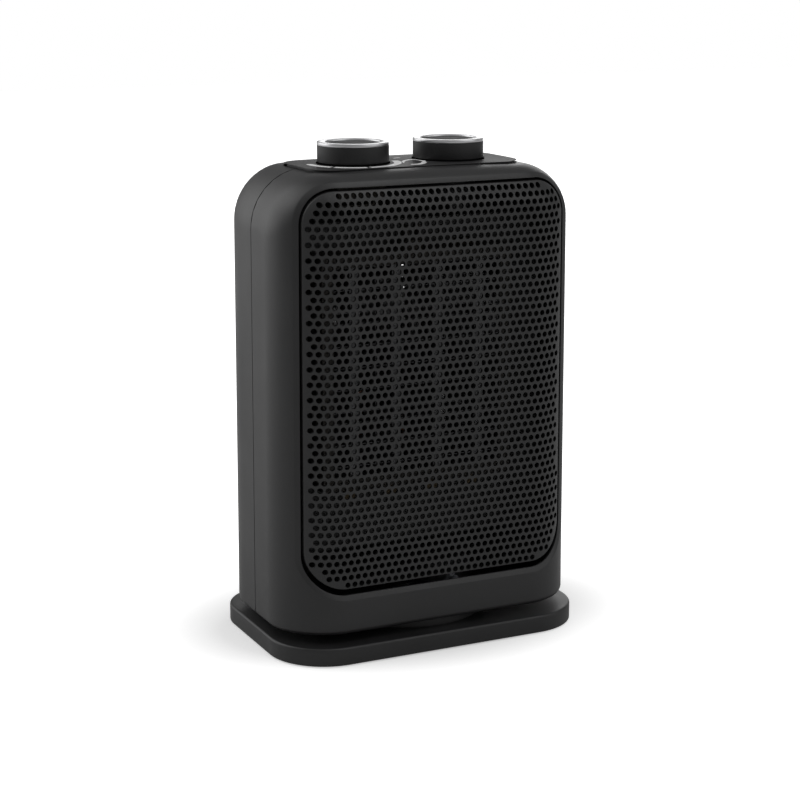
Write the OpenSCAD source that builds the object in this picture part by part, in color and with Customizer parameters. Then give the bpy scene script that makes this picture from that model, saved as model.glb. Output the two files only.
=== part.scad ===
// Ceramic space heater that swings on a flat base.
// Lengths are millimetres. The origin lies on the floor, under the swing axis.
// The air outlet faces -Y, the right side is +X and up is +Z.

/* [Body] */
// Width of the housing
body_w = 162; // [155:1:175]
// Depth of the housing
body_d = 95; // [94:1:104]
// Height of the housing, without its base and knobs
body_h = 225.5; // [220:0.5:250]
// Radius of the upright corners, seen from above
body_corner = 30.5; // [24:0.5:34]
// Radius of the two top corners, seen from the front
top_corner = 28.5; // [18:0.5:30]
// Rise of the top's shallow arch
top_arch = 0.8; // [0.4:0.1:2]
// Radius of the roll from the front and the rear into the top
roll_r = 19; // [14:0.5:20]
// Radius of the housing's bottom edges
bottom_round = 3; // [1:0.5:5]
// Wall of the housing
wall = 2.4; // [2:0.1:2.8]
// Width of the groove between the front and rear shells
seam_w = 0.6; // [0.3:0.1:1.2]
// Depth of the groove between the shells
seam_depth = 1; // [0.5:0.1:1.3]

/* [Grille] */
// Width of the air outlet
outlet_w = 143.4; // [130:0.2:144]
// Plain wall over the air outlet
outlet_above = 6.8; // [6.8:0.2:14]
// Plain wall under the air outlet
outlet_below = 20.1; // [14:0.1:26]
// Radius of the outlet's upper corners
outlet_top_r = 17.5; // [10:0.5:22]
// Radius of the outlet's lower corners
outlet_bottom_r = 20.5; // [12:0.5:30]
// Slit between the grille and the sides and top of the outlet
grille_slit = 0.8; // [0.4:0.1:1.2]
// Slit under the grille
grille_slit_below = 2.8; // [0.8:0.1:3]
// Thickness of the grille
grille_t = 1.5; // [1.2:0.1:2]
// Distance of the grille behind the housing's surface
grille_set_back = 0.8; // [0.4:0.1:1.2]
// Width of the flange that holds the grille behind the wall
grille_flange = 2; // [1.4:0.1:2.4]
// Depth of the grille from the housing's front to its rim
grille_depth = 15.5; // [15:0.5:18]
// Diameter of a hole
hole_d = 5.3; // [4:0.1:5.8]
// Distance between two holes in a row
hole_pitch = 7.38; // [7:0.02:9]
// Distance between two rows of holes
row_pitch = 7.45; // [7:0.05:9]
// Least plain edge between a hole and the grille's outline
hole_margin = 2; // [1.5:0.1:4]

/* [Control panel] */
// Width of the panel on the top
panel_w = 110; // [100:1:120]
// Depth of the panel
panel_d = 51; // [46:1:52]
// Corner radius of the panel
panel_corner = 14; // [4:0.5:16]
// Thickness of the panel
panel_t = 1.2; // [1:0.1:1.4]
// Distance of the panel under the housing's surface
panel_sink = 0.15; // [0.05:0.05:0.4]
// Slit around the panel
panel_slit = 0.4; // [0.2:0.1:0.8]
// Thickness of the top where the controls are fixed
pad_t = 3.6; // [3.5:0.1:5]

/* [Knobs] */
// Distance of each knob's axis from the middle
knob_x = 26.2; // [24:0.1:30]
// Diameter of a knob
knob_d = 35; // [32:0.5:38]
// Height of a knob
knob_h = 10.5; // [10:0.1:14]
// Air under a knob
knob_gap = 0.4; // [0.3:0.1:1]
// Wall of the knob's skirt
knob_wall = 2; // [1.4:0.1:2.6]
// Web that closes the top of the knob
knob_web = 2.2; // [1.6:0.1:2.4]
// Width of the metal ring on the knob, seen from above
ring_w = 3.75; // [2.5:0.25:5]
// Height of the metal ring
ring_h = 1.7; // [1.3:0.1:2]
// Distance of the cap under the top of the ring
cap_sink = 0.7; // [0.3:0.1:1]
// Diameter of a control shaft
shaft_d = 6; // [5:0.1:7]
// Depth of the flat on a control shaft
shaft_flat = 0.8; // [0.5:0.1:1.2]
// Diameter of a control's threaded bush
bush_d = 10; // [9:0.1:11]
// Width of a bush nut over its corners
nut_w = 15; // [13.5:0.5:17]
// Height of a bush nut
nut_h = 2; // [1.5:0.1:2]
// Height of the thermostat and of the switch under the top
control_h = 19; // [15:1:20]
// Width of the thermostat
thermostat_w = 26; // [22:1:34]
// Depth of the thermostat
thermostat_d = 20; // [16:1:26]
// Diameter of the rotary switch
switch_d = 27; // [22:1:34]
// Thickness of the mounting plate of a control
control_plate = 1.2; // [0.8:0.1:1.6]

/* [Base] */
// Width of the base
base_w = 167; // [160:0.5:190]
// Depth of the base
base_d = 107; // [100:1:125]
// Height of the base without its feet
base_h = 9; // [9:0.5:14]
// Corner radius at the base's front
base_front_r = 30; // [20:0.5:36]
// Corner radius at the base's rear
base_rear_r = 26.5; // [14:0.5:30]
// Bevel along the base's upper edge
base_bevel = 1.2; // [0.5:0.1:1.5]
// Side wall of the base
base_wall = 2; // [1.6:0.1:3]
// Top wall of the base
base_top_t = 1.8; // [1.6:0.1:2.2]
// Thickness of the base's bottom cover
cover_t = 1.6; // [1.4:0.1:2]
// Diameter of a rubber foot
foot_d = 14; // [10:0.5:18]
// Height of a foot below the base
foot_proud = 0.6; // [0.6:0.1:2]
// Depth of the seat that holds a foot
foot_seat = 0.8; // [0.5:0.1:1]
// Distance of a foot's middle from the base's edges
foot_inset = 17; // [14:1:24]
// Distance of the cover's screws from the base's sides
cover_screw_side = 12; // [10:0.5:14]
// Distance of the cover's screws from the base's front and rear
cover_screw_end = 36; // [34:1:38]

/* [Tip-over switch] */
// Diameter of the plunger's pad
plunger_d = 9; // [7:0.5:11]
// Travel of the plunger
plunger_travel = 2.1; // [1.6:0.1:2.2]
// Thickness of the plunger's collar
plunger_collar = 1; // [0.8:0.1:1.2]
// Diameter of the spring's wire
spring_wire = 0.5; // [0.4:0.05:0.6]
// Distance of the plunger from the base's rear
plunger_rear = 22; // [18:0.5:24]
// Number of the spring's turns
spring_turns = 3; // [2:0.5:3]
// Length of the tip-over switch
micro_l = 12.8; // [10:0.2:16]
// Width of the tip-over switch
micro_w = 6.5; // [5:0.1:8]
// Height of the tip-over switch
micro_h = 5; // [4:0.1:5.2]

/* [Swing] */
// Air between the base and the housing
swing_gap = 4.2; // [4.2:0.1:8]
// Diameter of the turntable's lower disc
disc_d = 88; // [84:1:89]
// Diameter of the turntable's neck in the housing's floor
neck_d = 78; // [76:1:79]
// Width of the turntable's upper flange, past the neck
flange_lap = 4.8; // [4.6:0.1:5]
// Thickness of the turntable's upper flange
flange_t = 2.4; // [2:0.1:4]
// Diameter of the pivot
pivot_d = 13; // [12:0.5:13]
// Diameter of the lead way through the pivot
pivot_bore = 8.4; // [6:0.2:9]
// Width of the glide ring
glide_w = 3.5; // [2:0.5:4]
// Thickness of the glide ring
glide_t = 0.8; // [0.6:0.1:1]
// Thickness of the clip on the pivot
clip_t = 1; // [0.8:0.1:1.6]
// Distance of the swing motor's shaft from the pivot
crank_offset = 22; // [21:0.5:23]
// Furthest that the housing swings to each side, in degrees
swing_angle = 30; // [20:1:30]
// Diameter of the crank pin
pin_d = 4; // [3:0.1:4.5]
// Play of the crank pin in the base's slot, on each side
pin_play = 0.65; // [0.6:0.05:1]
// Diameter of the swing motor
swing_motor_d = 35; // [30:0.5:37]
// Height of the swing motor
swing_motor_h = 13; // [8:0.5:16]
// Height of the posts under the swing motor
swing_post_h = 3.4; // [3:0.1:5]
// Diameter of the swing motor's shaft
swing_shaft_d = 5; // [4:0.1:6]
// Thickness of the crank
crank_t = 2.2; // [2:0.1:2.4]

/* [Heater] */
// Height of the fan's axis and the element's middle above the floor
air_z = 138; // [130:1:146]
// Height of the heating element's fins
element_h = 106; // [90:1:112]
// Distance between two heating bars
bar_pitch = 23.1; // [20:0.1:24]
// Width of a heating bar
bar_w = 4.1; // [3:0.1:6]
// Number of heating bars
bar_count = 4; // [2:1:4]
// Depth of the heating element
element_d = 15; // [12:0.5:15]
// Distance of the element behind the housing's front
element_back = 27.5; // [26:0.5:29]
// Distance between two fin sheets
fin_pitch = 5.3; // [4:0.1:8]
// Thickness of a fin sheet
fin_t = 0.5; // [0.4:0.1:0.8]
// Wall of the frame around the element
frame_wall = 6; // [4:0.5:8]
// Thickness of the frame's screw ears
frame_ear_t = 2; // [1.5:0.1:3]
// Reach of the frame's screw ears past its sides
frame_ear = 8; // [7:0.5:10]
// Distance of the frame's screws above and below the middle
frame_screw_z = 35; // [20:1:44]
// Width of a spade terminal
tab_w = 6.3; // [4.8:0.1:6.8]
// Thickness of a spade terminal
tab_t = 0.8; // [0.5:0.1:1]
// Length of a terminal outside the frame
tab_l = 8; // [6:0.5:12]
// Height of the lip that backs the element
frame_lip = 2; // [1.5:0.1:3]
// Diameter of the thermal cut-out
cutout_d = 13; // [11:0.5:14]
// Diameter of the thermal fuse
fuse_d = 4; // [3:0.2:5]

/* [Fan] */
// Diameter of the fan wheel
fan_d = 92; // [80:1:96]
// Depth of the fan wheel
fan_depth = 13; // [9:0.5:13]
// Diameter of the fan's hub
fan_hub_d = 30; // [24:1:36]
// Number of blades
blade_count = 7; // [4:1:9]
// Pitch angle of the blades
blade_angle = 33; // [20:1:38]
// Thickness of a blade
blade_t = 1.4; // [1:0.1:2]
// Air between the blades and the duct
tip_gap = 2.5; // [1.5:0.1:3]
// Wall of the air duct
duct_t = 2; // [1.6:0.1:2.4]
// Diameter of the motor's shaft
motor_shaft_d = 5; // [4:0.1:6]
// Diameter of the rotor
rotor_d = 26.8; // [22:0.2:28]
// Air between the rotor and the core
rotor_gap = 0.5; // [0.4:0.1:1]
// Thickness of the motor's core
core_t = 10; // [8:0.5:11]
// Width of the motor's core
core_w = 56; // [54:1:60]
// Distance of the motor's screws from its axis
motor_screw_x = 24; // [21:0.5:24.5]
// Length of the motor's bearings
bearing_l = 4; // [3:0.1:4]
// Width of the brackets that hold the bearings
bracket_w = 13; // [12:0.5:16]
// Thickness of the brackets
bracket_t = 2; // [1.5:0.1:2]
// Height of the core over the shaft's axis
core_up = 18; // [16:0.5:20]
// Depth of the core under the shaft's axis
core_down = 38; // [37:0.5:40]
// Height of the core's leg inside the coil
coil_leg = 12; // [9:0.5:12]
// Height of the window between the coil's leg and the poles
coil_window = 10; // [9:0.5:11]
// Width of the core's side limbs
core_side = 10; // [8:0.5:11]
// Thickness of the coil's winding
winding = 5.6; // [4:0.1:5.6]
// Diameter of the motor's bearings
bearing_d = 9; // [8:0.2:10]

/* [Rear] */
// Height of an air slot in the rear
slot_h = 3; // [2:0.2:4]
// Distance between two air slots
slot_pitch = 6; // [5:0.2:8]
// Diameter of the field of air slots
slot_field_d = 100; // [80:1:110]
// Diameter of the lead that the gland takes
cord_d = 7; // [5:0.1:8]
// Distance of the gland from the housing's side
gland_side = 40.5; // [38:0.5:46]
// Height of the gland above the housing's bottom
gland_z = 15.5; // [13:0.5:24]

// Wall of the gland around the lead
gland_wall = 2.8; // [2:0.1:3]
// Width of the gland's collar outside the housing
gland_collar = 2.2; // [1.5:0.1:3]
// Width of one way of the terminal block
terminal_way = 8.6; // [7:0.1:9]
// Depth of the terminal block
terminal_w = 14; // [11:0.5:15]
// Height of the terminal block
terminal_h = 11; // [9:0.5:14]

/* [Fasteners] */
// Diameter of a housing screw's shank
screw_d = 2.8; // [2.4:0.1:3.2]
// Diameter of a housing screw's head
head_d = 6; // [5:0.1:6.4]
// Height of a screw's head
head_h = 2; // [1.2:0.1:2.4]
// Diameter of a small screw's shank
small_screw_d = 2.4; // [2:0.1:2.6]
// Diameter of a small screw's head
small_head_d = 4.4; // [3.8:0.1:5]
// Length of the housing's screws
screw_length = 19; // [14:0.5:20]
// Radius of the front bosses
boss_r = 4.3; // [3.6:0.1:4.6]

/* [Clearances] */
// Air between pieces that turn past each other
run_gap = 0.3; // [0.25:0.05:0.5]
// Radial play of a shaft in its bore
fit = 0.05; // [0.03:0.01:0.08]
// Radial play of a fastener or plug in its hole
hole_play = 0.15; // [0.1:0.05:0.3]

/* [Hidden] */

// Facets of a quarter circle in a rounded outline
round_steps = 8;
// Length by which a cutting shape runs past what it cuts
past = 1;
// Facets of true circles
$fn = 48;

// Heights, from the floor up
cover_bottom = foot_proud;
cover_top = cover_bottom + cover_t;
base_top = foot_proud + base_h;
base_ceiling = base_top - base_top_t;
body_bottom = base_top + swing_gap;
body_top = body_bottom + body_h;
floor_top = body_bottom + wall;
turntable_top = floor_top + flange_t;
knob_foot = body_top + knob_gap;
knob_top = knob_foot + knob_h;
pad_bottom = body_top - pad_t;

// Half sizes of the housing's inside
inner_x = body_w / 2 - wall;
inner_y = body_d / 2 - wall;

// Outlet and grille, as [half width, bottom, top]
outlet_low = body_bottom + outlet_below;
outlet_high = body_top - outlet_above;
grille_half = outlet_w / 2 - grille_slit;
grille_low = outlet_low + grille_slit_below;
grille_high = outlet_high - grille_slit;
grille_back = -body_d / 2 + grille_depth;

// Cord gland in the rear wall
gland_x = body_w / 2 - gland_side;
gland_y = body_d / 2;
gland_r = cord_d / 2 + gland_wall;

// Screw bosses of the shells
boss_x = inner_x - boss_r + 0.7;
rear_boss_r = boss_r + 0.7;
low_boss_z = body_bottom + 15.3;
mid_boss_z = air_z - 20;
high_boss_z = body_top - 34.3;
boss_front = grille_back + past;
head_seat = 8;

// Controls
pad_reach = 14;
knob_r = knob_d / 2;
shaft_r = shaft_d / 2;
bush_r = bush_d / 2;
arch_half = body_w / 2 - top_corner;
nut_seat = body_top - panel_sink - top_arch * pow((knob_x + nut_w / 2) / arch_half, 2);
bush_top = nut_seat + nut_h + 0.5;
knob_deck = knob_top - ring_h;
shaft_top = knob_deck - knob_web;
shaft_bottom = pad_bottom - control_plate - 8;

// Swing drive
crank_r = crank_offset * tan(swing_angle);
crank_bottom = base_top + run_gap * 3;
crank_top = crank_bottom + crank_t;
turntable_bottom = base_top + 2 * run_gap;
table_screw_r = neck_d / 2 + flange_lap / 2 + 0.3;
pin_bottom = cover_top + 2.4;
slot_half = pin_d / 2 + pin_play;
slot_from = crank_offset - crank_r - slot_half;
slot_to = crank_offset + crank_r + slot_half;
crank_eye_r = swing_shaft_d / 2 + 2;
crank_tip_r = pin_d / 2 + 0.4;
pocket_r = crank_r + crank_eye_r + 2 * run_gap;
pocket_top = crank_top + run_gap;
clip_bottom = turntable_top + run_gap;
pivot_top = clip_bottom + clip_t + 0.9;
pivot_groove_r = pivot_d / 2 - 1;
clip_r = pivot_d / 2 + 3;
glide_r = disc_d / 2 - 0.5;
ear_y = swing_motor_d / 2 + 3.5;
swing_motor_bottom = turntable_top + swing_post_h;

// Tip-over plunger, behind the pivot
plunger_y = base_d / 2 - plunger_rear;
collar_bottom = cover_top + plunger_travel + run_gap;
collar_top = collar_bottom + plunger_collar;
collar_r = plunger_d / 2 + 2;
guide_r = 1.4;
spring_r = guide_r + fit + 0.9 + spring_wire / 2;
micro_x = collar_r + run_gap + 1.2;

// Depths inside the housing, counted forwards from the rear wall
motor_back = inner_y - 1.1;
rear_bar_back = motor_back - head_h;
rear_bar_front = rear_bar_back - bracket_t;
core_back = rear_bar_front - 3;
core_front = core_back - core_t;
front_bar_back = core_front - 4;
front_bar_front = front_bar_back - bracket_t;
spider_front = front_bar_front - duct_t;
fan_back = spider_front - 1;
fan_front = fan_back - fan_depth;
ring_plate_front = fan_front - 1;
ring_r = fan_d / 2 + tip_gap;
cup_r = bearing_d / 2 + 2;

// Heating element
element_front = -body_d / 2 + element_back;
element_rear = element_front + 1 + element_d;
element_w = bar_count * bar_pitch;
element_low = air_z - element_h / 2;
element_high = air_z + element_h / 2;
frame_half_w = element_w / 2 + frame_wall;
frame_half_h = element_h / 2 + frame_wall;
ear_x = frame_half_w + frame_ear / 2;
duct_low = swing_motor_bottom + swing_motor_h + 8;
duct_high = body_top - 28.3;

shell_colour = [0.10, 0.10, 0.105];
base_colour = [0.07, 0.07, 0.075];
black = [0.04, 0.04, 0.045];
steel = [0.62, 0.63, 0.65];
aluminium = [0.78, 0.79, 0.80];
brass = [0.75, 0.60, 0.30];
copper = [0.62, 0.33, 0.20];
cream = [0.85, 0.82, 0.74];
white = [0.88, 0.88, 0.86];

// ---- Outlines ----

// Points of a circular or elliptic arc
function arc(cx, cy, rx, ry, from, to) = [
    for (i = [0 : round_steps])
        let (a = from + (to - from) * i / round_steps) [cx + rx * cos(a), cy + ry * sin(a)]
];

// Rectangle about the origin with one radius for its -Y and one for its +Y corners
function plan(w, d, front_r, rear_r) = concat(
    arc(w / 2 - rear_r, d / 2 - rear_r, rear_r, rear_r, 0, 90),
    arc(-w / 2 + rear_r, d / 2 - rear_r, rear_r, rear_r, 90, 180),
    arc(-w / 2 + front_r, -d / 2 + front_r, front_r, front_r, 180, 270),
    arc(w / 2 - front_r, -d / 2 + front_r, front_r, front_r, 270, 360)
);

// Housing seen from above, drawn in by inset
function body_plan(inset) = plan(
    body_w - 2 * inset, body_d - 2 * inset, body_corner - inset, body_corner - inset
);

// Housing seen from the front: round top corners under a shallow arch
function body_front(inset) =
    let (
        r = top_corner - inset,
        b = max(bottom_round - inset, 0.4),
        zc = body_top - top_arch - top_corner,
        low = body_bottom + inset + b,
        side = body_w / 2 - inset - b
    )
    concat(
        arc(arch_half, zc, r, r, 0, 90),
        [for (i = [1 : round_steps - 1])
            let (u = 1 - 2 * i / round_steps)
                [arch_half * u, body_top - inset - top_arch * u * u]],
        arc(-arch_half, zc, r, r, 90, 180),
        arc(-side, low, b, b, 180, 270),
        arc(side, low, b, b, 270, 360)
    );

// Housing seen from the side: front and rear roll over into the top
function body_side(inset) =
    let (
        r = roll_r - inset,
        b = max(bottom_round - inset, 0.4),
        y = body_d / 2 - roll_r,
        z = body_top - roll_r,
        low = body_bottom + inset + b,
        end = body_d / 2 - inset - b
    )
    concat(
        arc(y, z, r, r, 0, 90), arc(-y, z, r, r, 90, 180),
        arc(-end, low, b, b, 180, 270), arc(end, low, b, b, 270, 360)
    );

// Outline of the outlet or the grille: half width, bottom, top, drawn in by inset
function outlet(half, low, high, inset) =
    let (rt = outlet_top_r - inset, rb = outlet_bottom_r - inset)
    concat(
        arc(half - inset - rt, high - inset - rt, rt, rt, 0, 90),
        arc(-half + inset + rt, high - inset - rt, rt, rt, 90, 180),
        arc(-half + inset + rb, low + inset + rb, rb, rb, 180, 270),
        arc(half - inset - rb, low + inset + rb, rb, rb, 270, 360)
    );

// ---- Shared shapes ----

// Extrudes a shape drawn in X and Z along Y, from y0 to y1
module along_y(y0, y1) {
    translate([0, y1, 0]) rotate([90, 0, 0]) linear_extrude(y1 - y0) children();
}

// Extrudes a shape drawn in Y and Z along X, from x0 to x1
module along_x(x0, x1) {
    translate([x0, 0, 0]) rotate([90, 0, 90]) linear_extrude(x1 - x0) children();
}

// Cylinder along Y
module rod_y(x, z, r, y0, y1) {
    translate([x, y1, z]) rotate([90, 0, 0]) cylinder(r = r, h = y1 - y0);
}

// Cylinder along Z
module rod_z(x, y, r, z0, z1) {
    translate([x, y, z0]) cylinder(r = r, h = z1 - z0);
}

// Box given by its low and high corners
module block(low, high) {
    translate(low) cube(high - low);
}

// The housing's outer form drawn in by inset, between y0 and y1
module body_form(inset, y0, y1) {
    intersection() {
        translate([0, 0, body_bottom - past])
            linear_extrude(body_h + 2 * past) polygon(body_plan(inset));
        along_y(y0, y1) polygon(body_front(inset));
        along_x(-body_w / 2 - past, body_w / 2 + past) polygon(body_side(inset));
    }
}

// Pan-head screw along Z with its head at z, pointing down for down = true
module screw_z(x, y, z, length, d, hd, hh, down) {
    translate([x, y, z]) mirror([0, 0, down ? 1 : 0]) {
        cylinder(d = d, h = length);
        translate([0, 0, -hh]) cylinder(d = hd, h = hh);
    }
}

// Pan-head screw along Y with its head seat at y, pointing to -Y for back = true
module screw_y(x, y, z, length, d, hd, hh, back) {
    translate([x, y, z]) rotate([back ? 90 : -90, 0, 0]) {
        cylinder(d = d, h = length);
        translate([0, 0, -hh]) cylinder(d = hd, h = hh);
    }
}

// ---- Base ----

base_screw_spots = [for (sx = [-1, 1], sy = [-1, 1]) 
    [sx * (base_w / 2 - cover_screw_side), sy * (base_d / 2 - cover_screw_end)]];
foot_spots = [for (sx = [-1, 1], sy = [-1, 1])
    [sx * (base_w / 2 - foot_inset), sy * (base_d / 2 - foot_inset)]];

function base_plan(inset) = plan(
    base_w - 2 * inset, base_d - 2 * inset, base_front_r - inset, base_rear_r - inset
);

// Slot with round ends along X, from x0 to x1
module slot(x0, x1, half) {
    translate([x0 + half, -half]) square([x1 - x0 - 2 * half, 2 * half]);
    translate([x0 + half, 0]) circle(half);
    translate([x1 - half, 0]) circle(half);
}

module base_shell() {
    slot_wall = 1.5;
    color(base_colour)
    difference() {
        union() {
            difference() {
                union() {
                    translate([0, 0, foot_proud])
                        linear_extrude(base_h - base_bevel) polygon(base_plan(0));
                    translate([0, 0, base_top - base_bevel])
                        linear_extrude(base_bevel / 2) polygon(base_plan(base_bevel * 0.3));
                    translate([0, 0, base_top - base_bevel / 2])
                        linear_extrude(base_bevel / 2) polygon(base_plan(base_bevel));
                }
                translate([0, 0, foot_proud - past])
                    linear_extrude(base_ceiling - foot_proud + past) polygon(base_plan(base_wall));
            }
            rod_z(0, 0, pivot_d / 2, pin_bottom - 0.4, pivot_top);
            translate([0, 0, pin_bottom - 0.4])
                linear_extrude(base_ceiling - pin_bottom + 0.4 + past / 2)
                    slot(slot_from - slot_wall, slot_to + slot_wall, slot_half + slot_wall);
            for (p = base_screw_spots) rod_z(p[0], p[1], small_head_d / 2 + 1.2, cover_top, base_ceiling + past / 2);
            rod_z(0, plunger_y, guide_r, cover_top + 0.6, base_ceiling + past / 2);
            for (s = [-1, 1])
                rod_z(micro_x + micro_l / 2 + s * micro_l / 4, plunger_y, 0.9,
                    cover_top + 1, base_ceiling + past / 2);
        }
        rod_z(0, 0, pivot_bore / 2, foot_proud, pivot_top + past);
        difference() {
            rod_z(0, 0, pivot_d / 2 + past, clip_bottom, clip_bottom + clip_t);
            rod_z(0, 0, pivot_groove_r, clip_bottom - past, clip_bottom + clip_t + past);
        }
        translate([0, 0, foot_proud]) linear_extrude(base_h + past) slot(slot_from, slot_to, slot_half);
        difference() {
            rod_z(0, 0, glide_r + hole_play, base_top + run_gap - glide_t, base_top + past);
            rod_z(0, 0, glide_r - glide_w - hole_play, foot_proud, base_top + 2 * past);
        }
        for (p = base_screw_spots)
            rod_z(p[0], p[1], small_screw_d / 2 + fit, cover_top - past, base_top - 0.8);
    }
}

module base_cover() {
    slack = 2 * hole_play;
    color(base_colour)
    difference() {
        translate([0, 0, cover_bottom]) linear_extrude(cover_t) polygon(base_plan(base_wall + slack));
        rod_z(0, plunger_y, plunger_d / 2 + hole_play, 0, cover_top + past);
        for (p = base_screw_spots) {
            rod_z(p[0], p[1], small_screw_d / 2 + hole_play, 0, cover_top + past);
            rod_z(p[0], p[1], small_head_d / 2 + hole_play, 0, cover_top - 0.8);
        }
        for (p = foot_spots) rod_z(p[0], p[1], foot_d / 2 + hole_play, 0, cover_bottom + foot_seat);
    }
}

module rubber_feet() {
    rim = 0.4;
    color(black)
    for (p = foot_spots) {
        rod_z(p[0], p[1], foot_d / 2 - rim, 0, rim);
        rod_z(p[0], p[1], foot_d / 2, rim, cover_bottom + foot_seat);
    }
}

module base_screws() {
    seat = cover_top - 0.8;
    color(steel)
    for (p = base_screw_spots)
        screw_z(p[0], p[1], seat, base_top - 1.4 - seat, small_screw_d, small_head_d, 0.7, false);
}

module glide_ring() {
    color(black)
    difference() {
        rod_z(0, 0, glide_r, base_top + run_gap - glide_t, base_top + run_gap);
        rod_z(0, 0, glide_r - glide_w, base_top - past, base_top + past);
    }
}

module pivot_clip() {
    opening = pivot_groove_r * 1.6;
    color(steel)
    difference() {
        rod_z(0, 0, clip_r, clip_bottom, clip_bottom + clip_t);
        rod_z(0, 0, pivot_groove_r, clip_bottom - past, clip_bottom + clip_t + past);
        block([-clip_r - past, -opening / 2, clip_bottom - past], [0, opening / 2, clip_bottom + clip_t + past]);
    }
}

module tip_over_switch() {
    blade = 0.4;
    tab = 3;
    color(black)
    difference() {
        union() {
            block([micro_x, plunger_y - micro_w / 2, cover_top],
                [micro_x + micro_l, plunger_y + micro_w / 2, cover_top + micro_h]);
            block([micro_x - 1, plunger_y - micro_w / 2, cover_top + 1],
                [micro_x - 1 + blade, plunger_y + micro_w / 2, cover_top + micro_h - 1]);
            block([micro_x - 1, plunger_y + micro_w / 2 - 1, cover_top + 1],
                [micro_x + past, plunger_y + micro_w / 2, cover_top + micro_h - 1]);
            for (s = [-1, 1])
                block([micro_x + micro_l - past, plunger_y + s * micro_w / 4 - blade, cover_top + 1],
                    [micro_x + micro_l + tab, plunger_y + s * micro_w / 4 + blade, cover_top + 3]);
        }
        for (s = [-1, 1])
            rod_z(micro_x + micro_l / 2 + s * micro_l / 4, plunger_y, 0.9 + fit,
                cover_top - past, cover_top + micro_h + past);
    }
}

// Coil of round wire about Z: centre line radius r, wire radius w, from z0 to z1
module coil_spring(r, w, z0, z1, turns) {
    sides = 6;
    rings = 16 * turns;
    points = [
        for (i = [0 : rings], k = [0 : sides - 1])
            let (a = 360 * turns * i / rings, b = 360 * k / sides, q = r + w * cos(b))
                [q * cos(a), q * sin(a), z0 + w + (z1 - z0 - 2 * w) * i / rings + w * sin(b)]
    ];
    faces = concat(
        [[for (k = [0 : sides - 1]) k]],
        [for (i = [0 : rings - 1], k = [0 : sides - 1])
            let (n = (k + 1) % sides)
                [i * sides + k, (i + 1) * sides + k, (i + 1) * sides + n, i * sides + n]],
        [[for (k = [sides - 1 : -1 : 0]) rings * sides + k]]
    );
    polyhedron(points, faces);
}

module tip_over_spring() {
    color(steel)
    translate([0, plunger_y, 0])
        coil_spring(spring_r, spring_wire / 2, collar_top, base_ceiling, spring_turns);
}

module tip_over_plunger() {
    color(white)
    difference() {
        union() {
            rod_z(0, plunger_y, plunger_d / 2, 0, collar_bottom);
            rod_z(0, plunger_y, collar_r, collar_bottom, collar_top);
        }
        rod_z(0, plunger_y, guide_r + fit, cover_top - 0.6, collar_top + past);
    }
}

// ---- Turntable and swing drive ----

module turntable() {
    rim_r = neck_d / 2 + flange_lap;
    color(black)
    difference() {
        union() {
            rod_z(0, 0, disc_d / 2, turntable_bottom, body_bottom);
            rod_z(0, 0, neck_d / 2, body_bottom - past / 2, floor_top + past / 2);
            rod_z(0, 0, rim_r, floor_top, turntable_top);
            for (s = [-1, 1])
                rod_z(crank_offset, s * ear_y, small_head_d / 2 + 1, turntable_top - past / 2, swing_motor_bottom);
        }
        rod_z(0, 0, pivot_d / 2 + fit, 0, turntable_top + past);
        rod_z(crank_offset, 0, pocket_r, 0, pocket_top);
        rod_z(crank_offset, 0, swing_shaft_d / 2 + run_gap, 0, turntable_top + past);
        for (s = [-1, 1])
            rod_z(crank_offset, s * ear_y, small_screw_d / 2 + fit, pocket_top + 0.6, swing_motor_bottom + past);
        for (a = [45 : 90 : 315])
            rotate(a) rod_z(table_screw_r, 0, small_screw_d / 2 + fit, turntable_bottom + 0.8, turntable_top + past);
    }
}

module turntable_screws() {
    color(steel)
    for (a = [45 : 90 : 315])
        rotate(a)
            screw_z(table_screw_r, 0, turntable_top, turntable_top - body_bottom + 2.6,
                small_screw_d, small_head_d, 1.4, true);
}

module crank_arm() {
    bore_top = crank_bottom + 0.9;
    color(white)
    difference() {
        union() {
            rod_z(crank_offset, 0, crank_eye_r, crank_bottom, crank_top);
            block([crank_offset, -crank_tip_r, crank_bottom],
                [crank_offset + crank_r, crank_tip_r, crank_top]);
            rod_z(crank_offset + crank_r, 0, crank_tip_r, crank_bottom, crank_top);
            rod_z(crank_offset + crank_r, 0, pin_d / 2, pin_bottom, crank_bottom + past);
        }
        rod_z(crank_offset, 0, swing_shaft_d / 2 + fit / 2, bore_top, crank_top + past);
    }
}

module crank_shaft() {
    color(steel)
    rod_z(crank_offset, 0, swing_shaft_d / 2, crank_bottom + 0.9, swing_motor_bottom + swing_motor_h / 2);
}

module swing_motor() {
    ear_t = 1;
    color(steel)
    difference() {
        union() {
            rod_z(crank_offset, 0, swing_motor_d / 2, swing_motor_bottom, swing_motor_bottom + swing_motor_h);
            block([crank_offset - 4.5, -ear_y - 3.5, swing_motor_bottom],
                [crank_offset + 4.5, ear_y + 3.5, swing_motor_bottom + ear_t]);
        }
        rod_z(crank_offset, 0, swing_shaft_d / 2 + fit, 0, swing_motor_bottom + swing_motor_h / 2 + 1);
        for (s = [-1, 1])
            rod_z(crank_offset, s * ear_y, small_screw_d / 2 + hole_play, 0, swing_motor_bottom + 3);
    }
}

module swing_motor_screws() {
    color(steel)
    for (s = [-1, 1])
        screw_z(crank_offset, s * ear_y, swing_motor_bottom + 1, swing_post_h + 2, small_screw_d, small_head_d, 1.4, true);
}

// ---- Housing ----

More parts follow.
